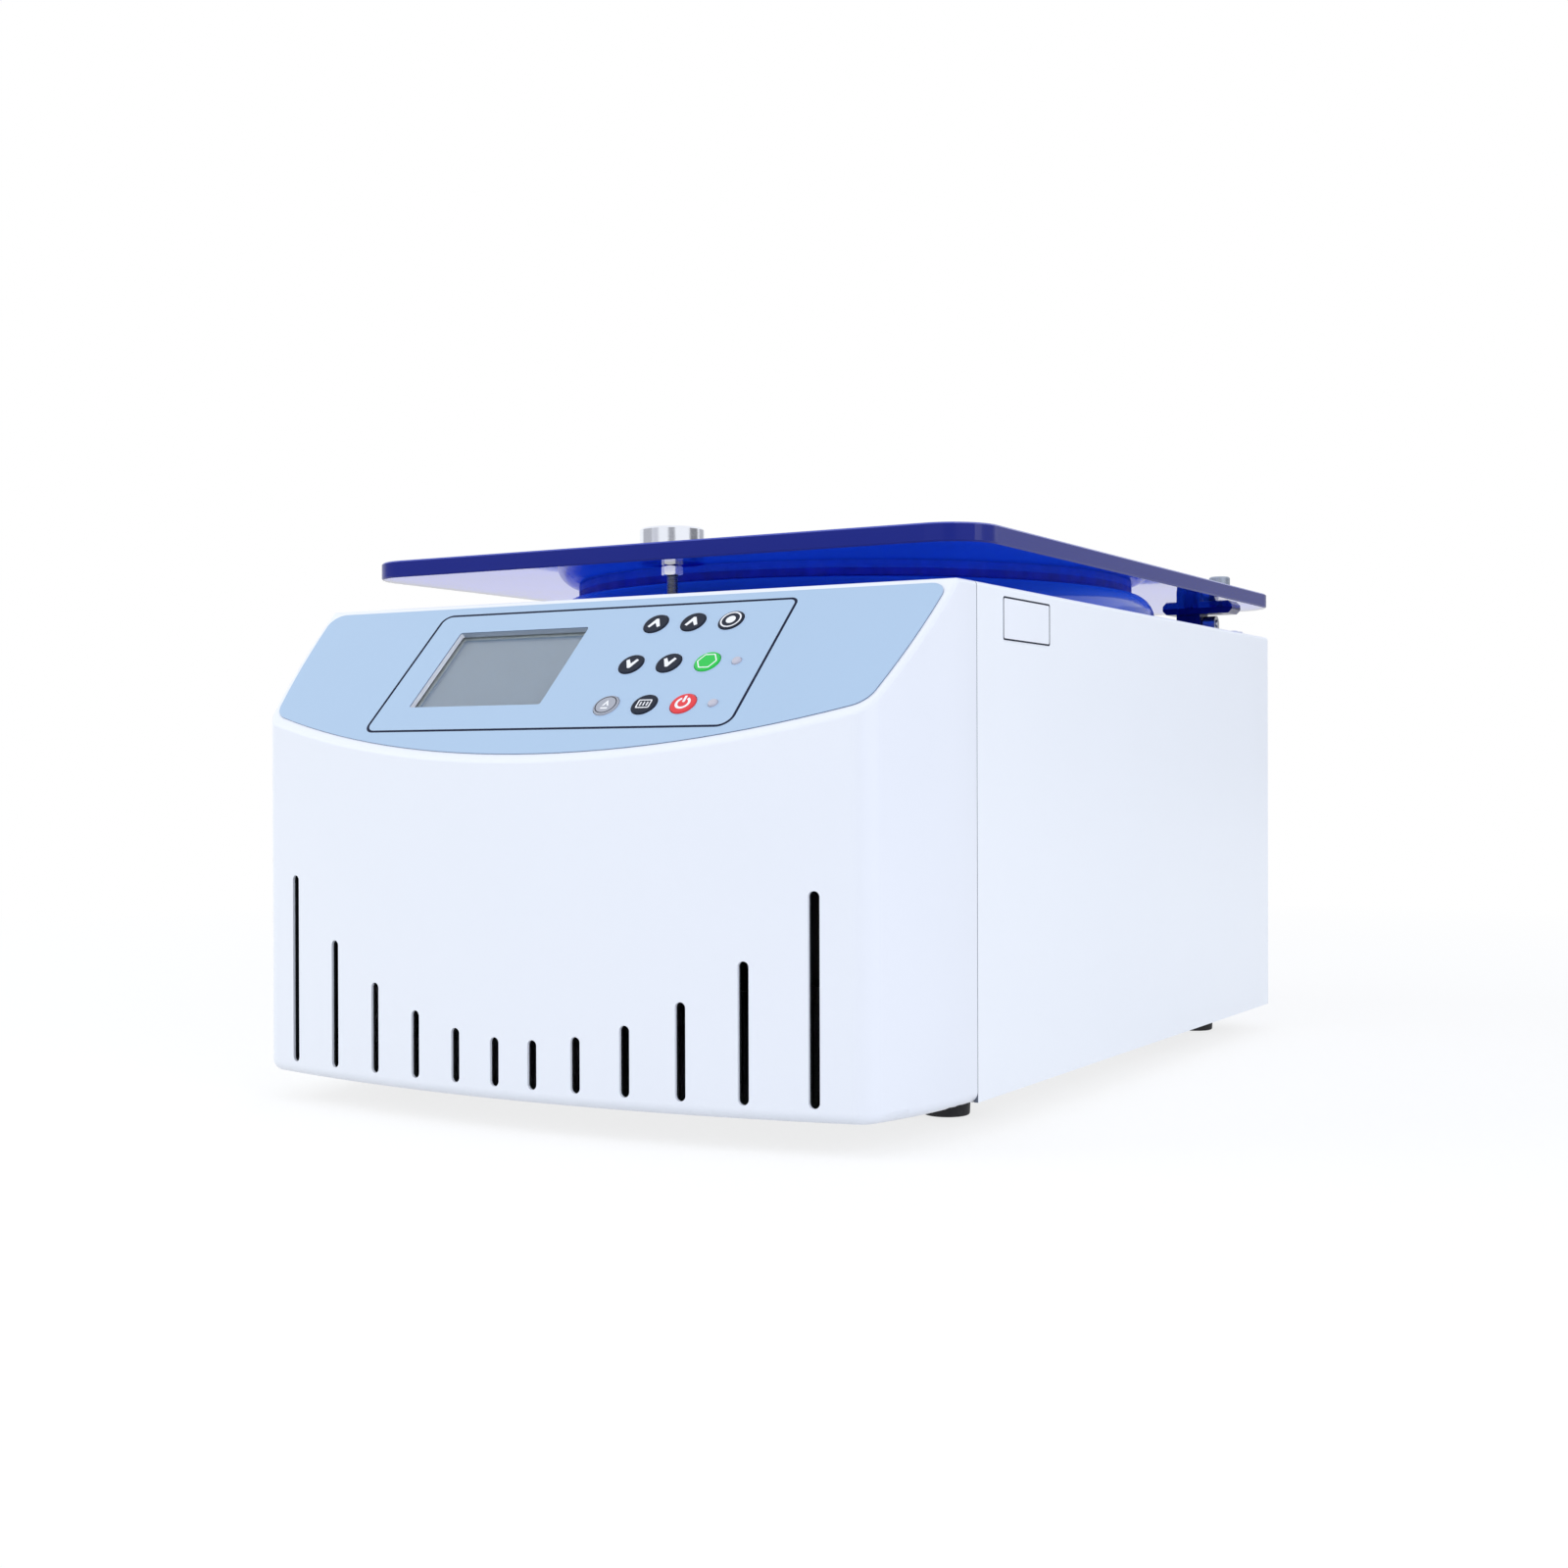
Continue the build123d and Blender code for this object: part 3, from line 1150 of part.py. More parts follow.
with BuildPart() as rear_screws:
    with BuildSketch(Plane.XZ.offset(-PANEL_OUT_Y)):
        with Locations(*REAR_SCREWS):
            Circle(SCREW_HEAD_R)
    extrude(amount=-SCREW_HEAD_T)
    chamfer(rear_screws.edges().group_by(Axis.Y)[-1], 0.5)
    with BuildSketch(Plane.XZ.offset(-PANEL_OUT_Y - SCREW_HEAD_T)):
        with Locations(*REAR_SCREWS):
            Rectangle(CROSS_L, CROSS_W)
            Rectangle(CROSS_W, CROSS_L)
    extrude(amount=SCREW_HEAD_T / 2, mode=Mode.SUBTRACT)
    with BuildSketch(Plane.XZ.offset(-PANEL_OUT_Y)):
        with Locations(*REAR_SCREWS):
            Circle(1.5)
    extrude(amount=8)
rear_screws.part.label = "rear_screws"
export_step(rear_screws.part, "parts/rear_screws.step")

# Mains inlet with three blades in its socket
with BuildPart() as power_inlet:
    with BuildSketch(Plane.XZ.offset(-PANEL_OUT_Y)):
        with Locations((INLET_X, INLET_Z)):
            RectangleRounded(31, 24, 2)
    extrude(amount=-2)
    with BuildSketch(Plane.XZ.offset(-PANEL_OUT_Y)):
        with Locations((INLET_X, INLET_Z)):
            Rectangle(INLET_W, INLET_H)
    extrude(amount=20)
    with BuildSketch(Plane.XZ.offset(-PANEL_OUT_Y - 2)) as socket:
        with Locations((INLET_X, INLET_Z)):
            Rectangle(24, 16.4)
        chamfer(socket.vertices().sort_by(Axis.Y)[-2:], 3.5)
    extrude(amount=18, mode=Mode.SUBTRACT)
    with BuildSketch(Plane.XZ.offset(-PANEL_OUT_Y + 17)):
        with Locations((INLET_X, INLET_Z + 1.5), (INLET_X - 7, INLET_Z - 2.5), (INLET_X + 7, INLET_Z - 2.5)):
            Rectangle(2, 4)
    extrude(amount=-13)
power_inlet.part.label = "power_inlet"
export_step(power_inlet.part, "parts/power_inlet.step")

# Mains switch: a frame and a rocker that tips about its middle
ROCKER_PIN_R = 1.5
ROCKER_Y = PANEL_OUT_Y - 5.0
ROCKER_TILT = 8.0
with BuildPart() as power_switch_frame:
    with BuildSketch(Plane.XZ.offset(-PANEL_OUT_Y)):
        with Locations((SWITCH_X, SWITCH_Z)):
            RectangleRounded(24.5, 31, 1.5)
    extrude(amount=-2)
    with BuildSketch(Plane.XZ.offset(-PANEL_OUT_Y)):
        with Locations((SWITCH_X, SWITCH_Z)):
            Rectangle(SWITCH_W, SWITCH_H)
    extrude(amount=24)
    with BuildSketch(Plane.XZ.offset(-PANEL_OUT_Y - 2)):
        with Locations((SWITCH_X, SWITCH_Z)):
            Rectangle(17, 23.5)
    extrude(amount=16, mode=Mode.SUBTRACT)
    with BuildSketch(Plane.YZ.offset(SWITCH_X - 10.1)):
        with Locations((ROCKER_Y, SWITCH_Z)):
            Circle(ROCKER_PIN_R + RUNNING_FIT)
    extrude(amount=20.2, mode=Mode.SUBTRACT)
power_switch_frame.part.label = "power_switch_frame"
export_step(power_switch_frame.part, "parts/power_switch_frame.step")

rocker_plane = Plane(
    origin=(SWITCH_X - 8.2, ROCKER_Y, SWITCH_Z),
    x_dir=(0, cos(radians(ROCKER_TILT)), sin(radians(ROCKER_TILT))),
    z_dir=(1, 0, 0),
)
with BuildPart() as power_switch_rocker:
    with BuildSketch(rocker_plane):
        with BuildLine():
            Polyline(
                (4.2, -10.6), (5.6, 0), (4.2, 10.6), (-2, 10.0), (-6, 3), (-6, -3), (-2, -10.0), close=True
            )
        make_face()
    extrude(amount=16.4)
    with BuildSketch(Plane(rocker_plane.origin, x_dir=(0, 1, 0), z_dir=(1, 0, 0)).offset(-1.6)):
        Circle(ROCKER_PIN_R)
    extrude(amount=16.4 + 3.2)
power_switch_rocker.part.label = "power_switch_rocker"
export_step(power_switch_rocker.part, "parts/power_switch_rocker.step")

with BuildPart() as fuse_holder:
    with BuildSketch(Plane.XZ.offset(-PANEL_OUT_Y)):
        with Locations((FUSE_X, FUSE_Z)):
            Circle(8)
    extrude(amount=-2)
    with BuildSketch(Plane.XZ.offset(-PANEL_OUT_Y - 2)):
        with Locations((FUSE_X, FUSE_Z)):
            Circle(5.5)
            Rectangle(8, 1.4, mode=Mode.SUBTRACT)
    extrude(amount=-3)
    with BuildSketch(Plane.XZ.offset(-PANEL_OUT_Y)):
        with Locations((FUSE_X, FUSE_Z)):
            Circle(FUSE_R)
    extrude(amount=30)
fuse_holder.part.label = "fuse_holder"
export_step(fuse_holder.part, "parts/fuse_holder.step")

# Cooling fan behind the grille
FAN_HUB_R = 15.0
FAN_BLADES = 7
BLADE_TIP_R = 36.0
BLADE_T = 1.6
BLADE_CHORD = 20.0
BLADE_PITCH = 38.0
fan_front_y = PANEL_IN_Y - FAN_DEPTH
with BuildPart() as fan_frame:
    with BuildSketch(Plane.XZ.offset(-fan_front_y)):
        with Locations((FAN_X, FAN_Z)):
            RectangleRounded(FAN_SIZE, FAN_SIZE, 4)
            Circle(FAN_DUCT_R, mode=Mode.SUBTRACT)
            with GridLocations(FAN_SIZE - 9, FAN_SIZE - 9, 2, 2):
                Circle(2.1, mode=Mode.SUBTRACT)
    extrude(amount=-FAN_DEPTH)
    with BuildSketch(Plane.XZ.offset(-fan_front_y)):
        with Locations((FAN_X, FAN_Z)):
            Circle(FAN_HUB_R + 1)
            with PolarLocations((FAN_HUB_R + FAN_DUCT_R) / 2, 4, 45):
                Rectangle(FAN_DUCT_R - FAN_HUB_R + 2, 4)
    extrude(amount=-3)
    with BuildSketch(Plane.XZ.offset(-fan_front_y - 3)):
        with Locations((FAN_X, FAN_Z)):
            Circle(2)
    extrude(amount=-14)
fan_frame.part.label = "fan_frame"
export_step(fan_frame.part, "parts/fan_frame.step")

fan_mid_y = fan_front_y + 13.5
with BuildPart() as fan_blades:
    with BuildSketch(Plane.XZ.offset(-(fan_front_y + 4))):
        with Locations((FAN_X, FAN_Z)):
            Circle(FAN_HUB_R)
    extrude(amount=-19)
    for k in range(FAN_BLADES):
        a = radians(360 / FAN_BLADES * k)
        outward = Vector(cos(a), 0, sin(a))
        blade_root = Plane(
            origin=(FAN_X, fan_mid_y, FAN_Z), x_dir=(0, 1, 0), z_dir=outward
        )
        with BuildSketch(blade_root.offset(FAN_HUB_R - 3)):
            Rectangle(BLADE_CHORD, BLADE_T, rotation=BLADE_PITCH)
        extrude(amount=BLADE_TIP_R - FAN_HUB_R + 3)
    with BuildSketch(Plane.XZ.offset(-(fan_front_y + 4))):
        with Locations((FAN_X, FAN_Z)):
            Circle(2 + RUNNING_FIT)
    extrude(amount=-14, mode=Mode.SUBTRACT)
fan_blades.part.label = "fan_blades"
export_step(fan_blades.part, "parts/fan_blades.step")
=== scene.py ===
# Looks of the gel card centrifuge: camera, studio, materials and fine surface detail
# Metres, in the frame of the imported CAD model
import json
from math import cos, pi, radians, sin, tan

import bmesh
import bpy
from mathutils import Matrix, Vector


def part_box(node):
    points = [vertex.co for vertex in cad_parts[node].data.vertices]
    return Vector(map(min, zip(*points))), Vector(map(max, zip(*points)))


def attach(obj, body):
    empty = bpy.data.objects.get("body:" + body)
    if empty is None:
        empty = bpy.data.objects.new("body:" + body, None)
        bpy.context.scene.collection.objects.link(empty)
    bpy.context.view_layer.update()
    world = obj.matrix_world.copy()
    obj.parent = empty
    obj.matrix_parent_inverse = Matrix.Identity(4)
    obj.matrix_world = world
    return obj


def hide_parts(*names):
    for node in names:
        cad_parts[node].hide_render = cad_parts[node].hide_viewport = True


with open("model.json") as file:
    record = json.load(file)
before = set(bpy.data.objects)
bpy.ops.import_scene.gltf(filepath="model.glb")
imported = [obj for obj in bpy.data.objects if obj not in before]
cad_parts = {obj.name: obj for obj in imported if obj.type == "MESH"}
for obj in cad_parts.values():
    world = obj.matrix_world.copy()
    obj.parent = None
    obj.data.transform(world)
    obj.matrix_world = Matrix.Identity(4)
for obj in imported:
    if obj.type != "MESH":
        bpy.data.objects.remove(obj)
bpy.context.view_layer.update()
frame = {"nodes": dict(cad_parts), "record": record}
NODES = frame["nodes"]
MM = 0.001

# Camera, solved from the straight edges of the cabinet in the photograph
CAMERA_PLACE = Vector((0.5643, -1.0166, 0.1634))
CAMERA_YAW = radians(30.05)
CAMERA_PITCH = radians(-0.284)
CAMERA_ROLL = radians(-0.169)
CAMERA_LENS = 46.18
CAMERA_SENSOR = 36.0

ahead = Vector((
    -sin(CAMERA_YAW) * cos(CAMERA_PITCH),
    cos(CAMERA_YAW) * cos(CAMERA_PITCH),
    sin(CAMERA_PITCH),
))
level = Vector((cos(CAMERA_YAW), sin(CAMERA_YAW), 0))
upward = level.cross(ahead)
across = level * cos(CAMERA_ROLL) + upward * sin(CAMERA_ROLL)
over = upward * cos(CAMERA_ROLL) - level * sin(CAMERA_ROLL)
camera_data = bpy.data.cameras.new("camera")
camera_data.sensor_fit = "HORIZONTAL"
camera_data.sensor_width = CAMERA_SENSOR
camera_data.lens = CAMERA_LENS
camera_data.clip_end = 20
camera = bpy.data.objects.new("camera", camera_data)
bpy.context.scene.collection.objects.link(camera)
camera.matrix_world = Matrix.Translation(CAMERA_PLACE) @ Matrix(
    (across, over, -ahead)
).transposed().to_4x4()
bpy.context.scene.camera = camera
bpy.context.scene.view_settings.view_transform = "Standard"


def srgb(red, green, blue):
    """Linear colour of an 8-bit display colour."""
    def linear(value):
        value /= 255
        return value / 12.92 if value <= 0.04045 else ((value + 0.055) / 1.055) ** 2.4
    return (linear(red), linear(green), linear(blue), 1.0)


# Studio: white surroundings for what the camera, metal and glass see, and a softer light
AMBIENT = 0.76
AMBIENT_COLOUR = (0.935, 0.965, 1.01, 1.0)
# Lamps: place, aim, side of the square, watts and colour
LAMPS = {
    "key_lamp": ((2.3, -1.15, 1.25), (0, 0, 0.15), 1.6, 19.0, (0.945, 0.975, 1.14)),
    "fill_lamp": ((-1.9, -1.4, 1.3), (0, 0, 0.15), 1.6, 21.0, (0.97, 0.98, 1.0)),
    "top_lamp": ((0.2, 0.4, 2.2), (0, 0, 0.2), 1.8, 1.0, (1.0, 1.0, 1.0)),
}
# Floor: its tone and glow as the camera sees it, and the full bounce that it gives the part.
# It is plain up to the first distance from the middle and pure white from the second one on.
FLOOR_SIDE = 12.0
FLOOR_TONE = (0.27, 0.273, 0.276, 1)
FLOOR_GLOW = 0.74
FLOOR_BOUNCE = (0.80, 0.80, 0.80, 1)
FLOOR_CLEAR, FLOOR_WHITE = 0.75, 1.5
# Reflection cards: distance, lower and upper edge, and each one's two compass angles and tone
CARD_DISTANCE = 2.4
CARD_LOW, CARD_HIGH = 0.1, 0.72
CARD_BLUE = 1.05
CARDS = {
    "card_left": (-178, -130, 0.5),
    "card_front_left": (-128, -106, 0.66),
    "card_camera": (-72, -50, 0.38),
    "card_right": (4, 42, 0.22),
    "card_far_right": (50, 88, 0.48),
}


def seen_directly(tree):
    """Socket that is 1 for camera, glossy and transmission rays."""
    path = tree.nodes.new("ShaderNodeLightPath")
    seen = path.outputs["Is Camera Ray"]
    for kind in ("Is Glossy Ray", "Is Transmission Ray"):
        either = tree.nodes.new("ShaderNodeMath")
        either.operation = "MAXIMUM"
        tree.links.new(seen, either.inputs[0])
        tree.links.new(path.outputs[kind], either.inputs[1])
        seen = either.outputs[0]
    return seen


def feed(tree, socket, value):
    """Sets a socket to a constant, or links it to another socket."""
    if isinstance(value, bpy.types.NodeSocket):
        tree.links.new(value, socket)
    else:
        socket.default_value = value


def new_node(tree, kind, **inputs):
    """New node, with its sockets set or linked by name."""
    made = tree.nodes.new(kind)
    for name, value in inputs.items():
        feed(tree, made.inputs[name.replace("_", " ")], value)
    return made


def shader_mix(tree, factor, first, second):
    """Shader that goes from the first to the second as a socket goes from 0 to 1."""
    mix = tree.nodes.new("ShaderNodeMixShader")
    tree.links.new(factor, mix.inputs[0])
    tree.links.new(first.outputs[0], mix.inputs[1])
    tree.links.new(second.outputs[0], mix.inputs[2])
    return mix


def product(tree, first, second):
    """Product of two sockets."""
    made = tree.nodes.new("ShaderNodeMath")
    made.operation = "MULTIPLY"
    tree.links.new(first, made.inputs[0])
    tree.links.new(second, made.inputs[1])
    return made.outputs[0]


def make_world():
    """White backdrop all round, with a dimmer version of it as the light."""
    world = bpy.data.worlds.new("studio")
    world.use_nodes = True
    tree = world.node_tree
    tree.nodes.clear()
    light = new_node(tree, "ShaderNodeBackground", Color=AMBIENT_COLOUR, Strength=AMBIENT)
    white = new_node(tree, "ShaderNodeBackground", Color=(1, 1, 1, 1), Strength=1.0)
    mix = shader_mix(tree, seen_directly(tree), light, white)
    new_node(tree, "ShaderNodeOutputWorld", Surface=mix.outputs[0])
    bpy.context.scene.world = world


def studio_object(name, corners, faces):
    """Object that is no part of the model, and the empty node tree of its material."""
    mesh = bpy.data.meshes.new(name)
    mesh.from_pydata(corners, [], faces)
    made = bpy.data.objects.new(name, mesh)
    bpy.context.scene.collection.objects.link(made)
    mat = bpy.data.materials.new(name)
    mat.use_nodes = True
    mat.node_tree.nodes.clear()
    mesh.materials.append(mat)
    return made, mat.node_tree


def make_floor():
    """White floor: its shadow stays faint for the camera, and its bounce on the part is full."""
    side = FLOOR_SIDE
    corners = [(-side, -side, 0), (side, -side, 0), (side, side, 0), (-side, side, 0)]
    floor, tree = studio_object("floor", corners, [(0, 1, 2, 3)])
    seen = seen_directly(tree)
    matt = new_node(tree, "ShaderNodeBsdfDiffuse", Color=FLOOR_TONE)
    glow = new_node(tree, "ShaderNodeEmission", Strength=FLOOR_GLOW)
    lit = tree.nodes.new("ShaderNodeAddShader")
    tree.links.new(matt.outputs[0], lit.inputs[0])
    tree.links.new(glow.outputs[0], lit.inputs[1])
    bounce = new_node(tree, "ShaderNodeBsdfDiffuse", Color=FLOOR_BOUNCE)
    near = shader_mix(tree, seen, bounce, lit)
    reach = tree.nodes.new("ShaderNodeVectorMath")
    reach.operation = "LENGTH"
    tree.links.new(tree.nodes.new("ShaderNodeTexCoord").outputs["Object"], reach.inputs[0])
    fade = new_node(tree, "ShaderNodeMapRange", Value=reach.outputs["Value"])
    fade.inputs["From Min"].default_value = FLOOR_CLEAR
    fade.inputs["From Max"].default_value = FLOOR_WHITE
    away = product(tree, fade.outputs["Result"], seen)
    white = tree.nodes.new("ShaderNodeEmission")
    surface = shader_mix(tree, away, near, white)
    new_node(tree, "ShaderNodeOutputMaterial", Surface=surface.outputs[0])


def lamp(name, place, target, size, watts, colour):
    """Square area lamp aimed at a point, out of sight of the glossy lid's reflections."""
    data = bpy.data.lights.new(name, "AREA")
    data.size = size
    data.energy = watts
    data.color = colour
    obj = bpy.data.objects.new(name, data)
    bpy.context.scene.collection.objects.link(obj)
    obj.location = place
    obj.rotation_euler = (Vector(target) - Vector(place)).to_track_quat("-Z", "Y").to_euler()
    obj.visible_glossy = False


def card(name, start, end, tone):
    """Upright card between two compass angles, seen by reflections only: it bands turned metal."""
    feet = [
        (CARD_DISTANCE * cos(radians(turn)), CARD_DISTANCE * sin(radians(turn)))
        for turn in (start, (start + end) / 2, end)
    ]
    corners = [(x, y, z) for z in (CARD_LOW, CARD_HIGH) for x, y in feet]
    upright, tree = studio_object(name, corners, [(0, 1, 4, 3), (1, 2, 5, 4)])
    glow = new_node(tree, "ShaderNodeEmission", Color=(tone, tone, tone * CARD_BLUE, 1))
    new_node(tree, "ShaderNodeOutputMaterial", Surface=glow.outputs[0])
    upright.visible_camera = False
    upright.visible_diffuse = False
    upright.visible_shadow = False
    upright.visible_transmission = False


make_world()
make_floor()
for lamp_name, lamp_values in LAMPS.items():
    lamp(lamp_name, *lamp_values)
for card_name, card_values in CARDS.items():
    card(card_name, *card_values)


# The wave texture turns through this angle for each unit of its scaled coordinates
WAVE_STEP = 20
# Nearly all of a noise texture's values lie between these two
NOISE_LOW, NOISE_HIGH = 0.3, 0.7
SMUDGE_DETAIL = 4.0
RING_WOBBLE = 0.4


class Finish:
    """One procedural material, built up from its shader by small steps."""

    def __init__(self, name, colour, rough, metal=0.0):
        self.mat = bpy.data.materials.new(name)
        self.mat.use_nodes = True
        self.tree = self.mat.node_tree
        self.shader = self.tree.nodes["Principled BSDF"]
        self.colour = colour
        self.rough = rough
        self.set("Base Color", colour)
        self.set("Roughness", rough)
        self.set("Metallic", metal)
        self.coords = self.tree.nodes.new("ShaderNodeTexCoord").outputs["Object"]
        self.height = None

    def set(self, socket, value):
        """Sets one constant on the shader."""
        self.shader.inputs[socket].default_value = value
        return self

    def node(self, kind, **inputs):
        """New node, with its sockets set or linked by name."""
        return new_node(self.tree, kind, **inputs)

    def feed(self, socket, value):
        """Sets a socket to a constant, or links it to another socket."""
        feed(self.tree, socket, value)

    def all_of(self, *areas):
        """Area where every one of the given areas is."""
        common = areas[0]
        for area in areas[1:]:
            common = self.math("MULTIPLY", common, area)
        return common

    def parts(self, vector):
        """The X, Y and Z sockets of a vector."""
        return self.node("ShaderNodeSeparateXYZ", Vector=vector).outputs

    def normal(self):
        """Socket with the surface's direction."""
        return self.tree.nodes.new("ShaderNodeTexCoord").outputs["Normal"]

    def mix(self, factor, first, second):
        """Colour that goes from the first to the second as a socket goes from 0 to 1."""
        made = self.tree.nodes.new("ShaderNodeMix")
        made.data_type = "RGBA"
        self.feed(made.inputs["A"], first)
        self.feed(made.inputs["B"], second)
        self.feed(made.inputs["Factor"], factor)
        return made.outputs["Result"]

    def math(self, operation, first, second=0.0):
        """Result of a sum on two sockets or numbers."""
        made = self.tree.nodes.new("ShaderNodeMath")
        made.operation = operation
        self.feed(made.inputs[0], first)
        self.feed(made.inputs[1], second)
        return made.outputs[0]

    def place(self, scale=(1, 1, 1), move=(0, 0, 0)):
        """Object coordinates, moved and then stretched."""
        moved = self.tree.nodes.new("ShaderNodeMapping")
        moved.inputs["Location"].default_value = [-m * s for m, s in zip(move, scale)]
        moved.inputs["Scale"].default_value = scale
        self.tree.links.new(self.coords, moved.inputs["Vector"])
        return moved.outputs["Vector"]

    def noise(self, scale, detail=2.0, stretch=(1, 1, 1)):
        """Noise whose size is given in cells for each metre."""
        return self.node(
            "ShaderNodeTexNoise", Vector=self.place(stretch), Scale=scale, Detail=detail
        ).outputs["Fac"]

    def spread(self, value, low, high):
        """Maps a noise value onto a range."""
        made = self.node("ShaderNodeMapRange", Value=value)
        made.inputs["From Min"].default_value = NOISE_LOW
        made.inputs["From Max"].default_value = NOISE_HIGH
        made.inputs["To Min"].default_value = low
        made.inputs["To Max"].default_value = high
        return made.outputs["Result"]

    def mottle(self, scale, amount, stretch=(1, 1, 1), detail=3.0):
        """Shifts the colour a little darker and lighter."""
        factor = self.spread(self.noise(scale, detail, stretch), 1 - amount, 1 + amount)
        tone = self.vector("SCALE", self.colour[:3])
        self.tree.links.new(factor, tone.inputs["Scale"])
        self.tree.links.new(tone.outputs[0], self.shader.inputs["Base Color"])
        return self

    def smudge(self, scale, amount, stretch=(1, 1, 1)):
        """Varies the roughness."""
        noise = self.noise(scale, SMUDGE_DETAIL, stretch)
        varied = self.spread(noise, self.rough - amount, self.rough + amount)
        self.tree.links.new(varied, self.shader.inputs["Roughness"])
        return self

    def relief(self, value, depth, strength=1.0):
        """Adds a height map of a given depth in metres to the bump."""
        bump = self.node("ShaderNodeBump", Height=value, Strength=strength, Distance=depth)
        if self.height is not None:
            self.tree.links.new(self.height, bump.inputs["Normal"])
        self.height = bump.outputs["Normal"]
        self.tree.links.new(self.height, self.shader.inputs["Normal"])
        return self

    def facing(self, direction, least, colour):
        """Paints a colour on the faces that turn away from a direction: a painted shade along
        edges.
        """
        turned_to = self.vector("DOT_PRODUCT", self.normal(), direction)
        return self.paint(self.math("LESS_THAN", turned_to.outputs["Value"], least), colour)

    def paint(self, area, colour):
        """Paints a colour over the area where a socket is 1; here it is always a painted shade."""
        base = self.shader.inputs["Base Color"]
        self.feed(base, self.mix(area, base.links[0].from_socket, colour))
        return self

    def vector(self, operation, first, second=(0, 0, 0)):
        """Node that works on two vectors."""
        made = self.tree.nodes.new("ShaderNodeVectorMath")
        made.operation = operation
        self.feed(made.inputs[0], first)
        self.feed(made.inputs[1], second)
        return made

    def grain(self, scale, depth, detail=2.0, stretch=(1, 1, 1)):
        """Fine surface grain."""
        return self.relief(self.noise(scale, detail, stretch), depth)

    def rings(self, centre, pitch, depth):
        """Turning marks round an upright axis."""
        wave = self.tree.nodes.new("ShaderNodeTexWave")
        wave.wave_type = "RINGS"
        wave.rings_direction = "Z"
        self.tree.links.new(self.place(move=(*centre, 0)), wave.inputs["Vector"])
        wave.inputs["Scale"].default_value = 2 * pi / (WAVE_STEP * pitch)
        wave.inputs["Distortion"].default_value = RING_WOBBLE
        return self.relief(wave.outputs["Fac"], depth)


def powder_coat(name, colour, rough=0.36):
    """Sprayed and baked finish with a faint orange peel."""
    return Finish(name, colour, rough).mottle(7, 0.004).smudge(22, 0.02).grain(650, 0.00005, 2.5)


def moulding(name, colour, rough=0.4, peel=0.00003):
    """Moulded plastic: even, with a very fine spark-eroded grain."""
    return Finish(name, colour, rough).mottle(9, 0.004).smudge(30, 0.02).grain(2400, peel, 2)


def steel(name, colour=(0.62, 0.63, 0.65, 1), rough=0.3, stretch=(1, 1, 14)):
    """Brushed or plated steel, drawn out along one axis."""
    return (
        Finish(name, colour, rough, metal=1.0)
        .mottle(60, 0.05, stretch)
        .smudge(500, 0.08, stretch)
        .grain(1500, 0.00003, 2, stretch)
    )


def rubber(name, colour=(0.022, 0.022, 0.025, 1)):
    """Matt black rubber with a dusty bloom."""
    return Finish(name, colour, 0.72).mottle(140, 0.22).smudge(90, 0.1).grain(1100, 0.00012, 3)


# Slope of the control panel
SLOPE = radians(44)

COVER_WHITE = srgb(245, 249, 254)
FRONT_WHITE = srgb(238, 242, 249)
OVERLAY_BLUE = srgb(172, 198, 225)
# Painted shade for the overlay's edge faces: a thin dark line along its edges
OVERLAY_EDGE_SHADE = srgb(110, 128, 158)
KEY_NAVY = srgb(24, 33, 50)
KEY_GREEN = srgb(38, 198, 78)
KEY_GREY = srgb(166, 170, 181)
KEY_RED = srgb(228, 62, 68)
COLLAR_BLUE = srgb(36, 80, 190)
PRINT_NAVY = srgb(10, 22, 52)
# Painted shade for the hollow inside of the front moulding, seen dark through the slots
INSIDE_SHADE = srgb(38, 40, 44)

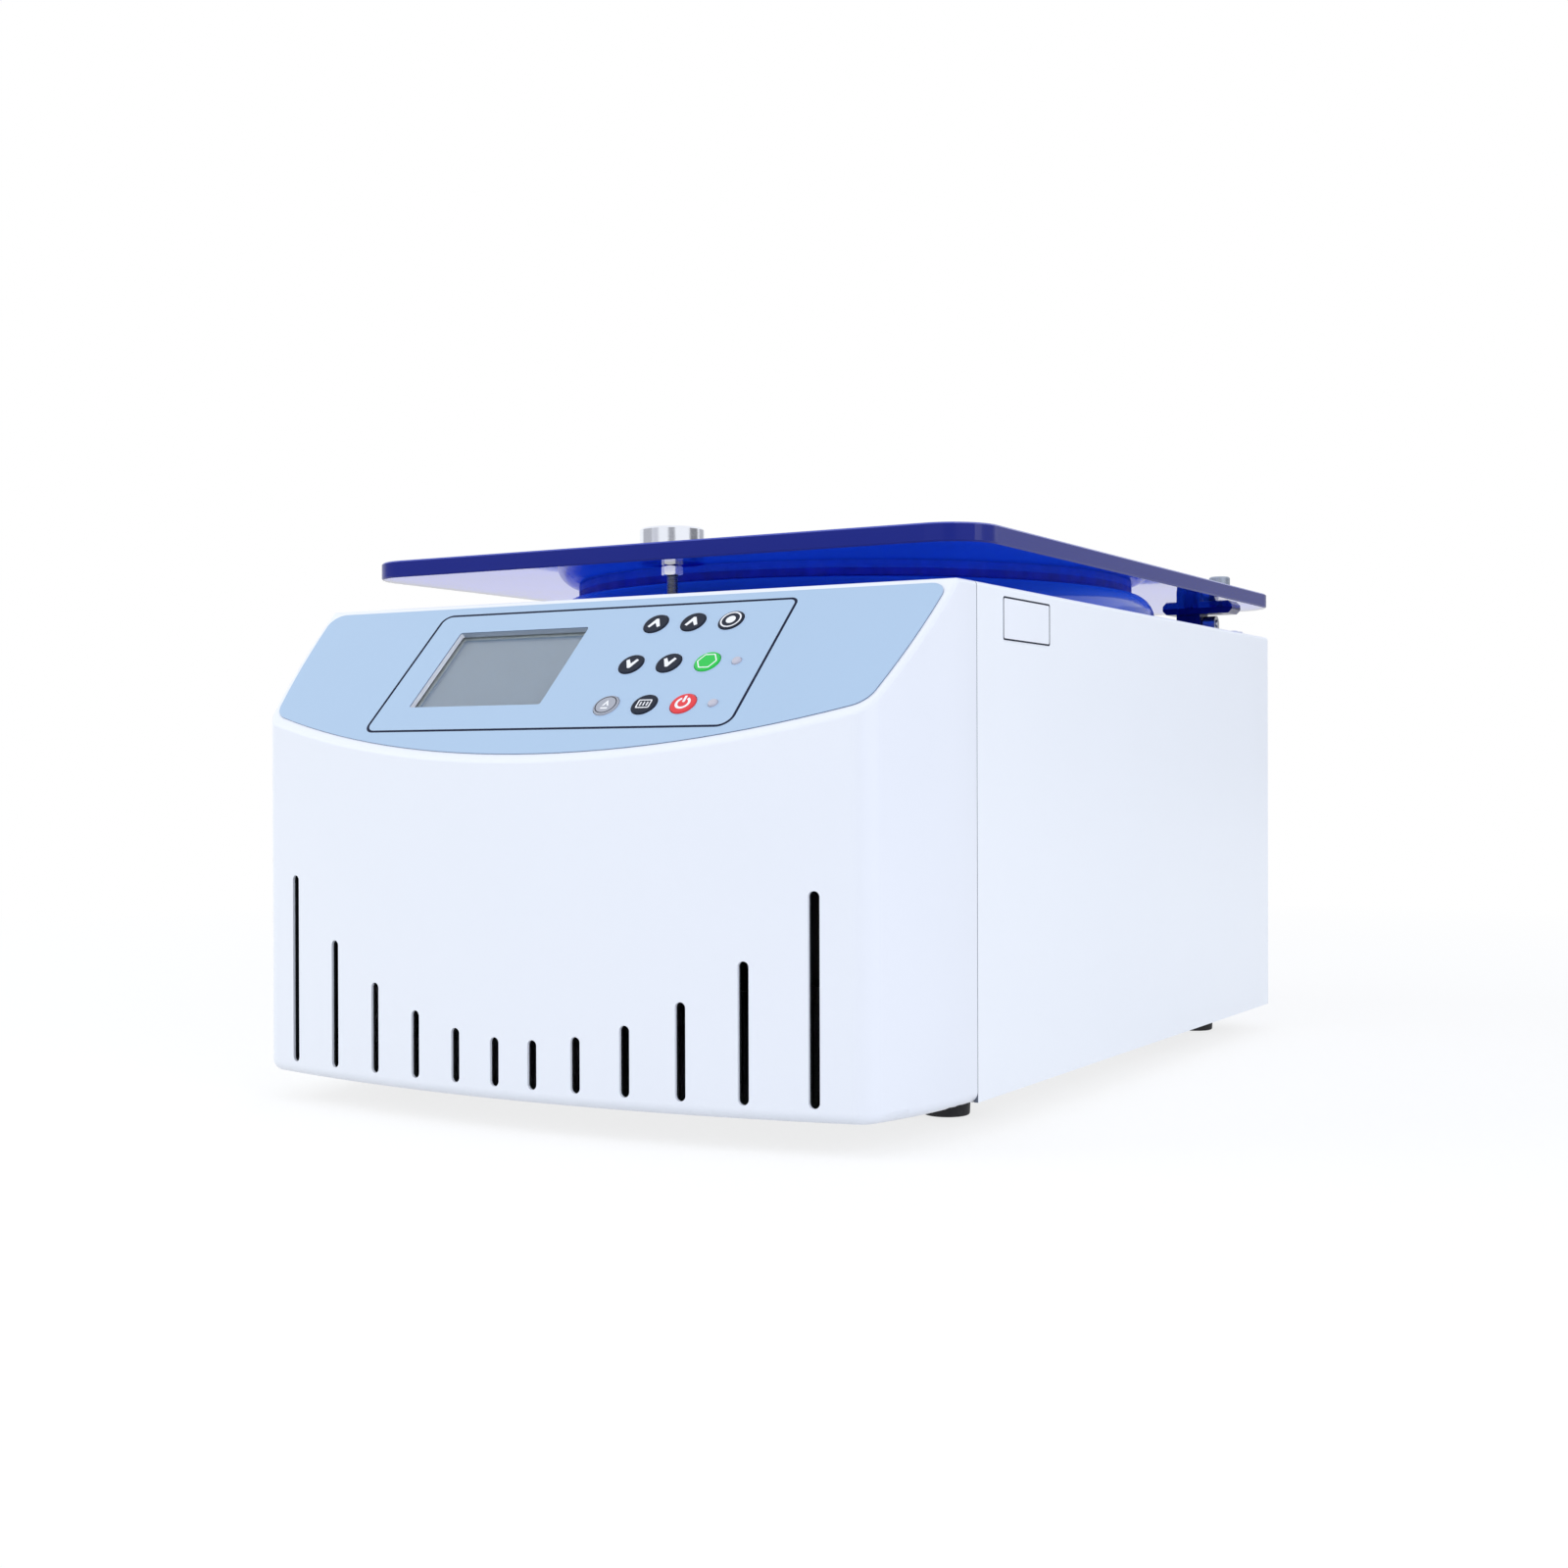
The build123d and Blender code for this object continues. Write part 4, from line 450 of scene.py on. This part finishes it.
finishes = {
    "cover_white": powder_coat("cover_white", COVER_WHITE),
    "front_white": moulding("front_white", FRONT_WHITE, 0.3, 0.00002),
    # The overlay's edge faces get a painted shade
    "overlay_blue": Finish("overlay_blue", OVERLAY_BLUE, 0.42)
    .mottle(12, 0.006).grain(3500, 0.00003, 1)
    .facing((0, -sin(SLOPE), cos(SLOPE)), 0.9, OVERLAY_EDGE_SHADE),
    "lamp_lilac": Finish("lamp_lilac", srgb(206, 205, 219), 0.15)
    .set("Transmission Weight", 0.15).mottle(300, 0.05).grain(900, 0.00004),
    "clear_pane": Finish("clear_pane", (0.93, 0.97, 0.97, 1), 0.03)
    .set("Transmission Weight", 1.0).set("IOR", 1.49).grain(120, 0.00002),
    "display_grey": Finish("display_grey", srgb(139, 158, 185), 0.35)
    .mottle(16, 0.01).grain(3000, 0.00001),
    "board_green": Finish("board_green", srgb(30, 92, 58), 0.45)
    .mottle(260, 0.18).grain(700, 0.0001),
    "key_navy": moulding("key_navy", KEY_NAVY, 0.5).set("Specular IOR Level", 0.2),
    "key_green": moulding("key_green", KEY_GREEN, 0.38).set("Specular IOR Level", 0.3),
    "key_grey": moulding("key_grey", KEY_GREY, 0.38),
    "key_red": moulding("key_red", KEY_RED, 0.38).set("Specular IOR Level", 0.3),
    "black_rubber": rubber("black_rubber"),
    "screw_steel": steel("screw_steel", rough=0.24),
    "label_pale": Finish("label_pale", srgb(245, 249, 255), 0.3)
    .mottle(40, 0.01).grain(2500, 0.00002),
    "bowl_steel": steel("bowl_steel", rough=0.28, stretch=(1, 1, 12))
    .rings((0, 0.043), 0.0016, 0.00002),
    "collar_blue": Finish("collar_blue", COLLAR_BLUE, 0.2).set("Coat Weight", 0.3)
    .set("Coat Roughness", 0.05).mottle(30, 0.03).smudge(40, 0.03).grain(500, 0.00002),
    "turned_aluminium": Finish("turned_aluminium", (0.84, 0.87, 0.95, 1), 0.11, 1.0)
    .mottle(90, 0.03, (1, 1, 0.2)).smudge(400, 0.03, (1, 1, 20)).grain(900, 0.00001, 2, (1, 1, 18)),
    "seal_blue": rubber("seal_blue", srgb(12, 46, 184)),
    "cap_pale": moulding("cap_pale", srgb(206, 213, 233), 0.3),
    "black_plastic": moulding("black_plastic", srgb(30, 31, 34), 0.45, 0.00008),
    "motor_grey": powder_coat("motor_grey", srgb(72, 75, 80)),
    "plated_steel": steel("plated_steel", rough=0.34, stretch=(1, 9, 1)),
    "rotor_aluminium": steel("rotor_aluminium", (0.72, 0.74, 0.77, 1), 0.3, (1, 1, 4)),
    "holder_plastic": moulding("holder_plastic", srgb(214, 218, 224), 0.36),
    "rocker_red": Finish("rocker_red", srgb(190, 32, 34), 0.22)
    .mottle(50, 0.04).grain(1500, 0.00002),
    "hinge_navy": powder_coat("hinge_navy", srgb(12, 20, 104), 0.27),
}


# Tinted acrylic: clear on its faces, with sawn edges that are nearly opaque
ACRYLIC_CLEAR = (1.0, 1.0, 1.0, 1)
ACRYLIC_TINT = (0.02, 0.48, 0.97, 1)
ACRYLIC_DENSITY = 400
ACRYLIC_EDGE = srgb(28, 39, 127)
ACRYLIC_BEVEL = srgb(78, 90, 182)
ACRYLIC_ROUGH = 0.035
ACRYLIC_INDEX = 1.54
POLISH_ROUGH = (0.015, 0.055)
SAWN_ROUGH = 0.17
FULL_GLOSS = 0.5
DULLED = 0.38
# Parts of a face's direction: upright for a clear face, level at the front, down on a lower
# bevel, and the middle and half width of the range that counts as an upper bevel
CLEAR_UPRIGHT = 0.97
FRONT_LEVEL = -0.6
BEVEL_DOWN = -0.3
BEVEL_MIDDLE, BEVEL_REACH = 0.7, 0.25


def acrylic():
    """Tinted clear acrylic: the tint deepens with the distance that light travels in it."""
    made = Finish("acrylic_blue", ACRYLIC_CLEAR, ACRYLIC_ROUGH)
    made.set("IOR", ACRYLIC_INDEX)
    tint = made.node("ShaderNodeVolumeAbsorption", Color=ACRYLIC_TINT, Density=ACRYLIC_DENSITY)
    made.feed(made.tree.nodes["Material Output"].inputs["Volume"], tint.outputs[0])
    parted = made.parts(made.normal())
    upright = parted["Z"]
    side = made.math("LESS_THAN", made.math("ABSOLUTE", upright), CLEAR_UPRIGHT)
    front = made.math("LESS_THAN", parted["Y"], FRONT_LEVEL)
    under = made.all_of(side, made.math("LESS_THAN", upright, BEVEL_DOWN))
    dull = made.math("MULTIPLY", made.math("MAXIMUM", front, under), DULLED)
    made.feed(made.shader.inputs["Specular IOR Level"], made.math("SUBTRACT", FULL_GLOSS, dull))
    bevel = made.math("COMPARE", upright, BEVEL_MIDDLE)
    bevel.node.inputs[2].default_value = BEVEL_REACH
    edge = made.mix(bevel, ACRYLIC_EDGE, ACRYLIC_BEVEL)
    made.feed(made.shader.inputs["Base Color"], made.mix(side, ACRYLIC_CLEAR, edge))
    made.feed(made.shader.inputs["Transmission Weight"], made.math("SUBTRACT", 1.0, side))
    polish = made.spread(made.noise(18, 4.0), *POLISH_ROUGH)
    sawn = made.math("MULTIPLY", side, SAWN_ROUGH)
    made.feed(made.shader.inputs["Roughness"], made.math("ADD", polish, sawn))
    return made.grain(30, 0.00002, 1)


finishes["acrylic_blue"] = acrylic()

for part in frame["record"]["subparts"]:
    node = NODES[part["node"]]
    node.data.materials.clear()
    node.data.materials.append(finishes[part["material_slot"]].mat)

hinge_steel = Finish("hinge_steel", srgb(170, 180, 198), 0.38, 1.0)
hinge_steel.mottle(90, 0.03, (1, 1, 0.2)).smudge(400, 0.03, (1, 1, 20)).grain(900, 0.00001)
NODES["hinge_nuts"].data.materials[0] = hinge_steel.mat
NODES["bracket_screws"].data.materials[0] = finishes["cover_white"].mat

# Panel plane: across is +X, up the slope is the second axis, and the third points out of it
PANEL_ORIGIN = Vector((0, -0.204, 0.2505))
PANEL_UP = Vector((0, cos(SLOPE), sin(SLOPE)))
PANEL_OUT = Vector((0, -sin(SLOPE), cos(SLOPE)))
PANEL_PLACE = Matrix.Translation(PANEL_ORIGIN) @ Matrix(
    (Vector((1, 0, 0)), PANEL_UP, PANEL_OUT)
).transposed().to_4x4()

# Heights over the panel plane and places on it, in millimetres
OVERLAY_TOP = 0.5
KEY_TOP = 1.3
KEY_X0 = 34.5
KEY_PITCH_X = 20.9
KEY_ROWS_DOWN = (23.5, 52.5, 80.8)
LAMP_X = 91.9

# Axes and radii of the front moulding's bow and of its two curved sides, in metres
BOW_AXIS, BOW_RADIUS = (0, 0.3876, 0), 0.6756
SIDE_AXIS, SIDE_RADIUS = (-0.0449, -0.187, 0), 0.2299
CORNER_AXIS, CORNER_RADIUS = (0.161, -0.2551, 0), 0.013
SKIN = 0.0015
SLOPE_SKIN = 0.0024

# The window's upper wall lies above this height, and gets a painted shade
SILL_Z = 0.2
SILL_SHADE = srgb(158, 172, 190)

# The seam between the moulding and the cover, where the cover's cut edge gets a painted shade of
# grey in the gap
SEAM_END_Y = -0.185
SEAM_SHADE = srgb(96, 104, 120)

# Part of its direction beyond which a face counts as turned the opposite way
TURNED_AWAY = -0.9


def paint_inside_shade(made):
    """Painted shade on the moulding's inside, dark on each point deeper than a skin under its form,
    and on the window's upper wall.
    """
    low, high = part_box("front_panel")
    parted = made.parts(made.coords)
    upright = parted["Z"]
    level = made.vector("MULTIPLY", made.coords, (1, 1, 0)).outputs[0]
    aside = made.math("ABSOLUTE", parted["X"])
    mirrored = made.node("ShaderNodeCombineXYZ", X=aside, Y=parted["Y"]).outputs[0]
    from_bow = made.vector("DISTANCE", level, BOW_AXIS).outputs["Value"]
    from_side = made.vector("DISTANCE", mirrored, SIDE_AXIS).outputs["Value"]
    from_slope = made.vector("DOT_PRODUCT", made.coords, PANEL_OUT).outputs["Value"]
    from_corner = made.vector("DISTANCE", mirrored, CORNER_AXIS).outputs["Value"]
    corner_skin = made.all_of(
        made.math("GREATER_THAN", aside, CORNER_AXIS[0]),
        made.math("LESS_THAN", parted["Y"], CORNER_AXIS[1]),
        made.math("GREATER_THAN", from_corner, CORNER_RADIUS - SKIN),
    )
    made.paint(made.all_of(
        made.math("LESS_THAN", from_bow, BOW_RADIUS - SKIN),
        made.math("LESS_THAN", from_side, SIDE_RADIUS - SKIN),
        made.math("LESS_THAN", from_slope, PANEL_ORIGIN.dot(PANEL_OUT) - SLOPE_SKIN),
        made.math("LESS_THAN", upright, high.z - SKIN),
        made.math("GREATER_THAN", upright, low.z + SKIN),
        made.math("SUBTRACT", 1.0, corner_skin),
    ), INSIDE_SHADE)
    # Painted shade on the window's upper wall, which faces down the slope
    up_slope = made.vector("DOT_PRODUCT", made.normal(), PANEL_UP).outputs["Value"]
    made.paint(made.all_of(
        made.math("LESS_THAN", up_slope, TURNED_AWAY),
        made.math("GREATER_THAN", upright, SILL_Z),
    ), SILL_SHADE)


def paint_seam_shade(made):
    """Painted shade of grey on the cover's cut front edges, in the seam's gap."""
    made.paint(made.all_of(
        made.math("LESS_THAN", made.parts(made.normal())["Y"], TURNED_AWAY),
        made.math("LESS_THAN", made.parts(made.coords)["Y"], SEAM_END_Y),
    ), SEAM_SHADE)


paint_inside_shade(finishes["front_white"])
paint_seam_shade(finishes["cover_white"])


def circle(radius, centre=(0, 0), steps=48):
    """Points of a circle, in millimetres."""
    return [
        (centre[0] + radius * cos(2 * pi * k / steps), centre[1] + radius * sin(2 * pi * k / steps))
        for k in range(steps)
    ]


def arc_band(inner, outer, start, end, steps=32):
    """Outline of a part of a ring, between two angles in degrees."""
    turns = [radians(start + (end - start) * k / steps) for k in range(steps + 1)]
    outside = [(outer * cos(a), outer * sin(a)) for a in turns]
    inside = [(inner * cos(a), inner * sin(a)) for a in reversed(turns)]
    return outside + inside


def rounded(points, radii, steps=8):
    """Polygon with each corner replaced by an arc; one radius, or one for each corner."""
    outline = []
    count = len(points)
    if not isinstance(radii, list):
        radii = [radii] * count
    for k, radius in enumerate(radii):
        corner = Vector(points[k])
        before = (Vector(points[k - 1]) - corner).normalized()
        after = (Vector(points[(k + 1) % count]) - corner).normalized()
        half = before.angle(after) / 2
        centre = corner + (before + after).normalized() * (radius / sin(half))
        start = corner + before * (radius / tan(half)) - centre
        turn = pi - 2 * half
        if before.x * after.y - before.y * after.x > 0:
            turn = -turn
        for step in range(steps + 1):
            a = turn * step / steps
            outline.append((
                centre.x + start.x * cos(a) - start.y * sin(a),
                centre.y + start.x * sin(a) + start.y * cos(a),
            ))
    return outline


def box_outline(width, height, centre=(0, 0)):
    """Corners of a rectangle, anticlockwise."""
    x, y = width / 2, height / 2
    return [(centre[0] + a, centre[1] + b) for a, b in ((-x, -y), (x, -y), (x, y), (-x, y))]


def rigid_piece(name, mesh, finish, body):
    """Piece that moves with a body."""
    mesh.materials.clear()
    mesh.materials.append(finish.mat)
    piece = bpy.data.objects.new(name, mesh)
    bpy.context.scene.collection.objects.link(piece)
    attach(piece, body)
    return piece


# Points of a plate that lie closer than this are one, in metres
MERGE_DISTANCE = 1e-7


def plate(name, outlines, place, low, high, finish, body):
    """Thin plate from outlines in millimetres; an outline inside another one is a hole."""
    curve = bpy.data.curves.new(name, "CURVE")
    curve.dimensions = "2D"
    curve.fill_mode = "BOTH"
    curve.extrude = (high - low) / 2 * MM
    for outline in outlines:
        spline = curve.splines.new("POLY")
        spline.points.add(len(outline) - 1)
        for point, (x, y) in zip(spline.points, outline):
            point.co = (x * MM, y * MM, 0, 1)
        spline.use_cyclic_u = True
    holder = bpy.data.objects.new(name, curve)
    bpy.context.scene.collection.objects.link(holder)
    bpy.context.view_layer.update()
    graph = bpy.context.evaluated_depsgraph_get()
    mesh = bpy.data.meshes.new_from_object(holder.evaluated_get(graph))
    bpy.data.objects.remove(holder)
    shape = bmesh.new()
    shape.from_mesh(mesh)
    bmesh.ops.remove_doubles(shape, verts=shape.verts, dist=MERGE_DISTANCE)
    shape.to_mesh(mesh)
    shape.free()
    mesh.name = name
    mesh.transform(place @ Matrix.Translation((0, 0, (low + high) / 2 * MM)))
    return rigid_piece(name, mesh, finish, body)


def on_panel(x, down):
    """Placement on the panel plane of a point given across and down, in millimetres."""
    return PANEL_PLACE @ Matrix.Translation((x * MM, -down * MM, 0))


def key_place(row, column):
    """Placement of a key's middle."""
    return on_panel(KEY_X0 + KEY_PITCH_X * column, KEY_ROWS_DOWN[row])


print_white = Finish("print_white", srgb(244, 246, 250), 0.4).mottle(40, 0.01).grain(3000, 0.00001)
print_navy = Finish("print_navy", PRINT_NAVY, 0.5).mottle(40, 0.02).grain(3000, 0.00001)
print_dark = Finish("print_dark", srgb(34, 40, 56), 0.5).mottle(40, 0.02).grain(3000, 0.00001)
for ink in (print_navy, print_dark):
    ink.set("Specular IOR Level", 0.15)
# Raised rims round the keys and lamps; their blue, paler than the overlay's, is a painted highlight
# on the raised edge
rim_pale_highlight = Finish("rim_pale_highlight", srgb(186, 208, 234), 0.36).mottle(30, 0.01).grain(2500, 0.00002)

# Depth and height of a print's faces under and over its surface, in millimetres
PRINT_SUNK = 0.04
PRINT_RAISED = 0.04
KEY_PRINT_RAISED = 0.05

# Printed frame round the display and the keys
FRAME_X0, FRAME_X1 = -102.0, 107.0
FRAME_DOWN0, FRAME_DOWN1 = 8.6, 96.2
FRAME_LINE = 1.4
FRAME_RADII = [6.0, 7.5, 4.5, 6.0]
frame_middle = ((FRAME_X0 + FRAME_X1) / 2, -(FRAME_DOWN0 + FRAME_DOWN1) / 2)
frame_size = (FRAME_X1 - FRAME_X0, FRAME_DOWN1 - FRAME_DOWN0)
plate(
    "printed_frame",
    [
        rounded(box_outline(*frame_size, frame_middle), FRAME_RADII),
        rounded(
            box_outline(*(side - 2 * FRAME_LINE for side in frame_size), frame_middle),
            [radius - FRAME_LINE for radius in FRAME_RADII],
        ),
    ],
    PANEL_PLACE,
    OVERLAY_TOP - PRINT_SUNK,
    OVERLAY_TOP + PRINT_RAISED,
    print_navy,
    "cabinet",
)

# Symbols on the keys, and the raised rim round each key
CHEVRON = [
    (-3.5, -2.3), (-0.7, 3.1), (0.7, 3.1), (3.5, -2.3), (2.1, -3.1), (0, 0.1), (-2.1, -3.1),
]


def turned(points):
    """The same outline upside down."""
    return [(-x, -y) for x, y in points]


def hexagon(radius, corner):
    """Rounded hexagon with a corner at each side."""
    return rounded([(radius * cos(pi / 3 * k), radius * sin(pi / 3 * k)) for k in range(6)], corner)


def power_symbol():
    """Ring open at the top, with a bar in the gap."""
    return [arc_band(2.6, 3.9, 118, 422), rounded(box_outline(1.3, 4.2, (0, 2.6)), 0.3)]


def card_symbol():
    """Small card with three columns."""
    columns = [box_outline(0.7, 2.6, (x, 0)) for x in (-1.8, 0, 1.8)]
    return [rounded(box_outline(7.4, 5.6), 0.8), rounded(box_outline(6.1, 4.3), 0.4), *columns]


def dial_symbol():
    """Upright pointer over a short bar."""
    pointer = [(-1.9, -0.9), (0, 3.1), (1.9, -0.9), (0.7, -0.5), (0, 1.1), (-0.7, -0.5)]
    return [pointer, box_outline(3.8, 0.9, (0, -2.3))]


KEYS = [
    ("key_speed_up", 0, 0, [CHEVRON], print_white),
    ("key_time_up", 0, 1, [CHEVRON], print_white),
    ("key_ring", 0, 2, [circle(5.4), circle(4.6), circle(2.5)], print_white),
    ("key_speed_down", 1, 0, [turned(CHEVRON)], print_white),
    ("key_time_down", 1, 1, [turned(CHEVRON)], print_white),
    ("key_start", 1, 2, [hexagon(5.4, 1.0), hexagon(4.7, 0.8)], print_white),
    ("key_mode", 2, 0, dial_symbol(), print_white),
    ("key_store", 2, 1, card_symbol(), print_white),
    ("key_stop", 2, 2, power_symbol(), print_white),
]


def in_millimetres(shape, point):
    """New corner of a shape, at a point given in millimetres."""
    return shape.verts.new([value * MM for value in point])


def mesh_of(shape, name, sharp_from=None):
    """Smooth mesh of a finished shape, with creases from a given angle on."""
    bmesh.ops.recalc_face_normals(shape, faces=shape.faces)
    mesh = bpy.data.meshes.new(name)
    shape.to_mesh(mesh)
    shape.free()
    mesh.shade_smooth()
    if sharp_from is not None:
        mesh.set_sharp_from_angle(angle=sharp_from)
    return mesh


def wrap(columns):
    """Ring-shaped surface through columns of points, closed both round the ring and across it."""
    shape = bmesh.new()
    loops = [[in_millimetres(shape, point) for point in column] for column in columns]
    for k, here in enumerate(loops):
        there = loops[(k + 1) % len(loops)]
        for s in range(len(here)):
            after = (s + 1) % len(here)
            shape.faces.new((here[s], there[s], there[after], here[after]))
    return shape


def ring_piece(name, place, major, minor, height, finish, body, segments=64, sides=12):
    """Raised round rim: a torus pressed into the surface by half."""
    mesh = mesh_of(wrap([
        [
            (
                (major + minor * cos(b)) * cos(a),
                (major + minor * cos(b)) * sin(a),
                height + minor * sin(b),
            )
            for b in (2 * pi * s / sides for s in range(sides))
        ]
        for a in (2 * pi * k / segments for k in range(segments))
    ]), name)
    mesh.transform(place)
    return rigid_piece(name, mesh, finish, body)


TURNED_CREASE = radians(28)


def lathe(name, profile, centre, finish, body, segments=64):
    """Solid of revolution round an upright axis, from a profile of radius and height."""
    shape = bmesh.new()
    rows = []
    for radius, height in profile:
        if radius == 0:
            rows.append([in_millimetres(shape, (*centre, height))])
            continue
        rows.append([
            in_millimetres(shape, (
                centre[0] + radius * cos(2 * pi * k / segments),
                centre[1] + radius * sin(2 * pi * k / segments),
                height,
            ))
            for k in range(segments)
        ])
    for lower, upper in zip(rows, rows[1:]):
        for k in range(segments):
            ring = [lower[k % len(lower)], lower[(k + 1) % len(lower)]]
            ring += [upper[(k + 1) % len(upper)], upper[k % len(upper)]]
            shape.faces.new(list(dict.fromkeys(ring)))
    return rigid_piece(name, mesh_of(shape, name, TURNED_CREASE), finish, body)


# Radius of a rim's middle line and of its section
KEY_RIM = (6.95, 0.25)
LAMP_RIM = (2.75, 0.2)
symbol_low, symbol_high = KEY_TOP - PRINT_SUNK, KEY_TOP + KEY_PRINT_RAISED
for key_name, row, column, outlines, ink in KEYS:
    spot = key_place(row, column)
    plate(f"{key_name}_symbol", outlines, spot, symbol_low, symbol_high, ink, key_name)
    ring_piece(f"{key_name}_rim", spot, *KEY_RIM, OVERLAY_TOP, rim_pale_highlight, "cabinet")
plate(
    "key_mode_ring",
    [circle(5.6), circle(5.1)],
    key_place(2, 0),
    symbol_low,
    symbol_high,
    print_dark,
    "key_mode",
)
for row in (1, 2):
    spot = on_panel(LAMP_X, KEY_ROWS_DOWN[row])
    ring_piece(f"lamp_rim_{row}", spot, *LAMP_RIM, OVERLAY_TOP, rim_pale_highlight, "cabinet")

# Display: pale border printed behind the pane, round the grey active area
WINDOW_X, WINDOW_DOWN = -44.1, 50.8
WINDOW_W, WINDOW_H = 79.0, 55.5
MODULE_TOP = -4.3
BORDER_OUT, BORDER_IN = 5, 3
BORDER_CORNER = 0.8
BORDER_SUNK, BORDER_RAISED = 0.02, 0.05
border_grey = Finish("display_border", srgb(196, 202, 206), 0.4)
plate(
    "display_border",
    [
        box_outline(WINDOW_W + BORDER_OUT, WINDOW_H + BORDER_OUT),
        rounded(box_outline(WINDOW_W - BORDER_IN, WINDOW_H - BORDER_IN), BORDER_CORNER),
    ],
    on_panel(WINDOW_X, WINDOW_DOWN),
    MODULE_TOP - BORDER_SUNK,
    MODULE_TOP + BORDER_RAISED,
    border_grey.mottle(40, 0.02).grain(2500, 0.00001),
    "cabinet",
)

# Threaded lid stud, cut from the same sizes as the plain one in the frame
stud_low, stud_high = (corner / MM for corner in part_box("latch_stud"))
STUD_R = (stud_high.x - stud_low.x) / 2
STUD_CENTRE = (0, (stud_low.y + stud_high.y) / 2)
STUD_CHAMFER = 1
STUD_SEGMENTS = 40
GROOVE_LOW, GROOVE_HIGH, GROOVE_R = 5.0, 10.0, 1.5
THREAD_PITCH = 1.0
THREAD_DEPTH = 0.45
THREAD_ROOT = (0.45, 0.55)
THREAD_MARGIN = 1
profile = [
    (0, stud_low.z),
    (STUD_R - STUD_CHAMFER, stud_low.z),
    (STUD_R, stud_low.z + STUD_CHAMFER),
    (STUD_R, stud_low.z + GROOVE_LOW),
    (GROOVE_R, stud_low.z + GROOVE_LOW),
    (GROOVE_R, stud_low.z + GROOVE_HIGH),
    (STUD_R, stud_low.z + GROOVE_HIGH),
]
thread_low = stud_low.z + GROOVE_HIGH + THREAD_MARGIN
thread_high = stud_high.z - THREAD_MARGIN
for turn in range(int((thread_high - thread_low) / THREAD_PITCH)):
    base = thread_low + THREAD_PITCH * turn
    profile.append((STUD_R, base))
    profile += [(STUD_R - THREAD_DEPTH, base + THREAD_PITCH * root) for root in THREAD_ROOT]
profile += [(STUD_R, thread_high), (STUD_R, stud_high.z), (0, stud_high.z)]
stud_steel = steel("stud_steel", (0.32, 0.33, 0.36, 1), 0.3)
stud = lathe("threaded_stud", profile, STUD_CENTRE, stud_steel, "lid", STUD_SEGMENTS)
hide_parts("latch_stud")

# Hexagon nut on the stud, with its corners chamfered at both ends
NUT_FLATS = 10.0
NUT_FACE_R = NUT_FLATS / 2 - 0.2
NUT_CHAMFER = 0.62
NUT_TURN = 48.0
NUT_STEPS = 96
NUT_CREASE = radians(20)


def nut_section(turn, low, high):
    """Section of the nut in a given direction, in degrees: radius and height of its corners."""
    off_flat = (turn - NUT_TURN + 30) % 60 - 30
    reach = NUT_FLATS / 2 / cos(radians(off_flat))
    cut = NUT_CHAMFER * (reach - NUT_FACE_R)
    return [
        (STUD_R, low), (NUT_FACE_R, low), (reach, low + cut),
        (reach, high - cut), (NUT_FACE_R, high), (STUD_R, high),
    ]


nut_low, nut_high = (corner.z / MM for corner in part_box("stud_nut"))
nut_shape = wrap([
    [
        (
            STUD_CENTRE[0] + radius * cos(radians(turn)),
            STUD_CENTRE[1] + radius * sin(radians(turn)),
            height,
        )
        for radius, height in nut_section(turn, nut_low, nut_high)
    ]
    for turn in (360 * k / NUT_STEPS for k in range(NUT_STEPS))
])
nut_steel = steel("nut_steel", (0.92, 0.93, 0.97, 1), 0.2)
nut_mesh = mesh_of(nut_shape, "chamfered_nut", NUT_CREASE)
nut = rigid_piece("chamfered_nut", nut_mesh, nut_steel, "lid")
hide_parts("stud_nut")

# Blank rating plate: a thin rounded border is all that it carries
plate_low, plate_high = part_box("rating_plate")
plate_size = (plate_high.y - plate_low.y, plate_high.z - plate_low.z)
plate_middle = (plate_low + plate_high) / 2
PLATE_PLACE = Matrix.Translation((plate_high.x, plate_middle.y, plate_middle.z)) @ Matrix(
    ((0, 0, 1), (1, 0, 0), (0, 1, 0))
).to_4x4()
LABEL_INSET = 0.3
LABEL_LINE = 0.85
LABEL_CORNERS = (1.4, 1.0)
LABEL_PRINT = 0.03
outer_border = [side / MM - 2 * LABEL_INSET for side in plate_size]
inner_border = [side - 2 * LABEL_LINE for side in outer_border]
plate(
    "rating_plate_border",
    [
        rounded(box_outline(*border), corner)
        for border, corner in zip((outer_border, inner_border), LABEL_CORNERS)
    ],
    PLATE_PLACE,
    -LABEL_PRINT,
    LABEL_PRINT,
    print_dark,
    "cabinet",
)
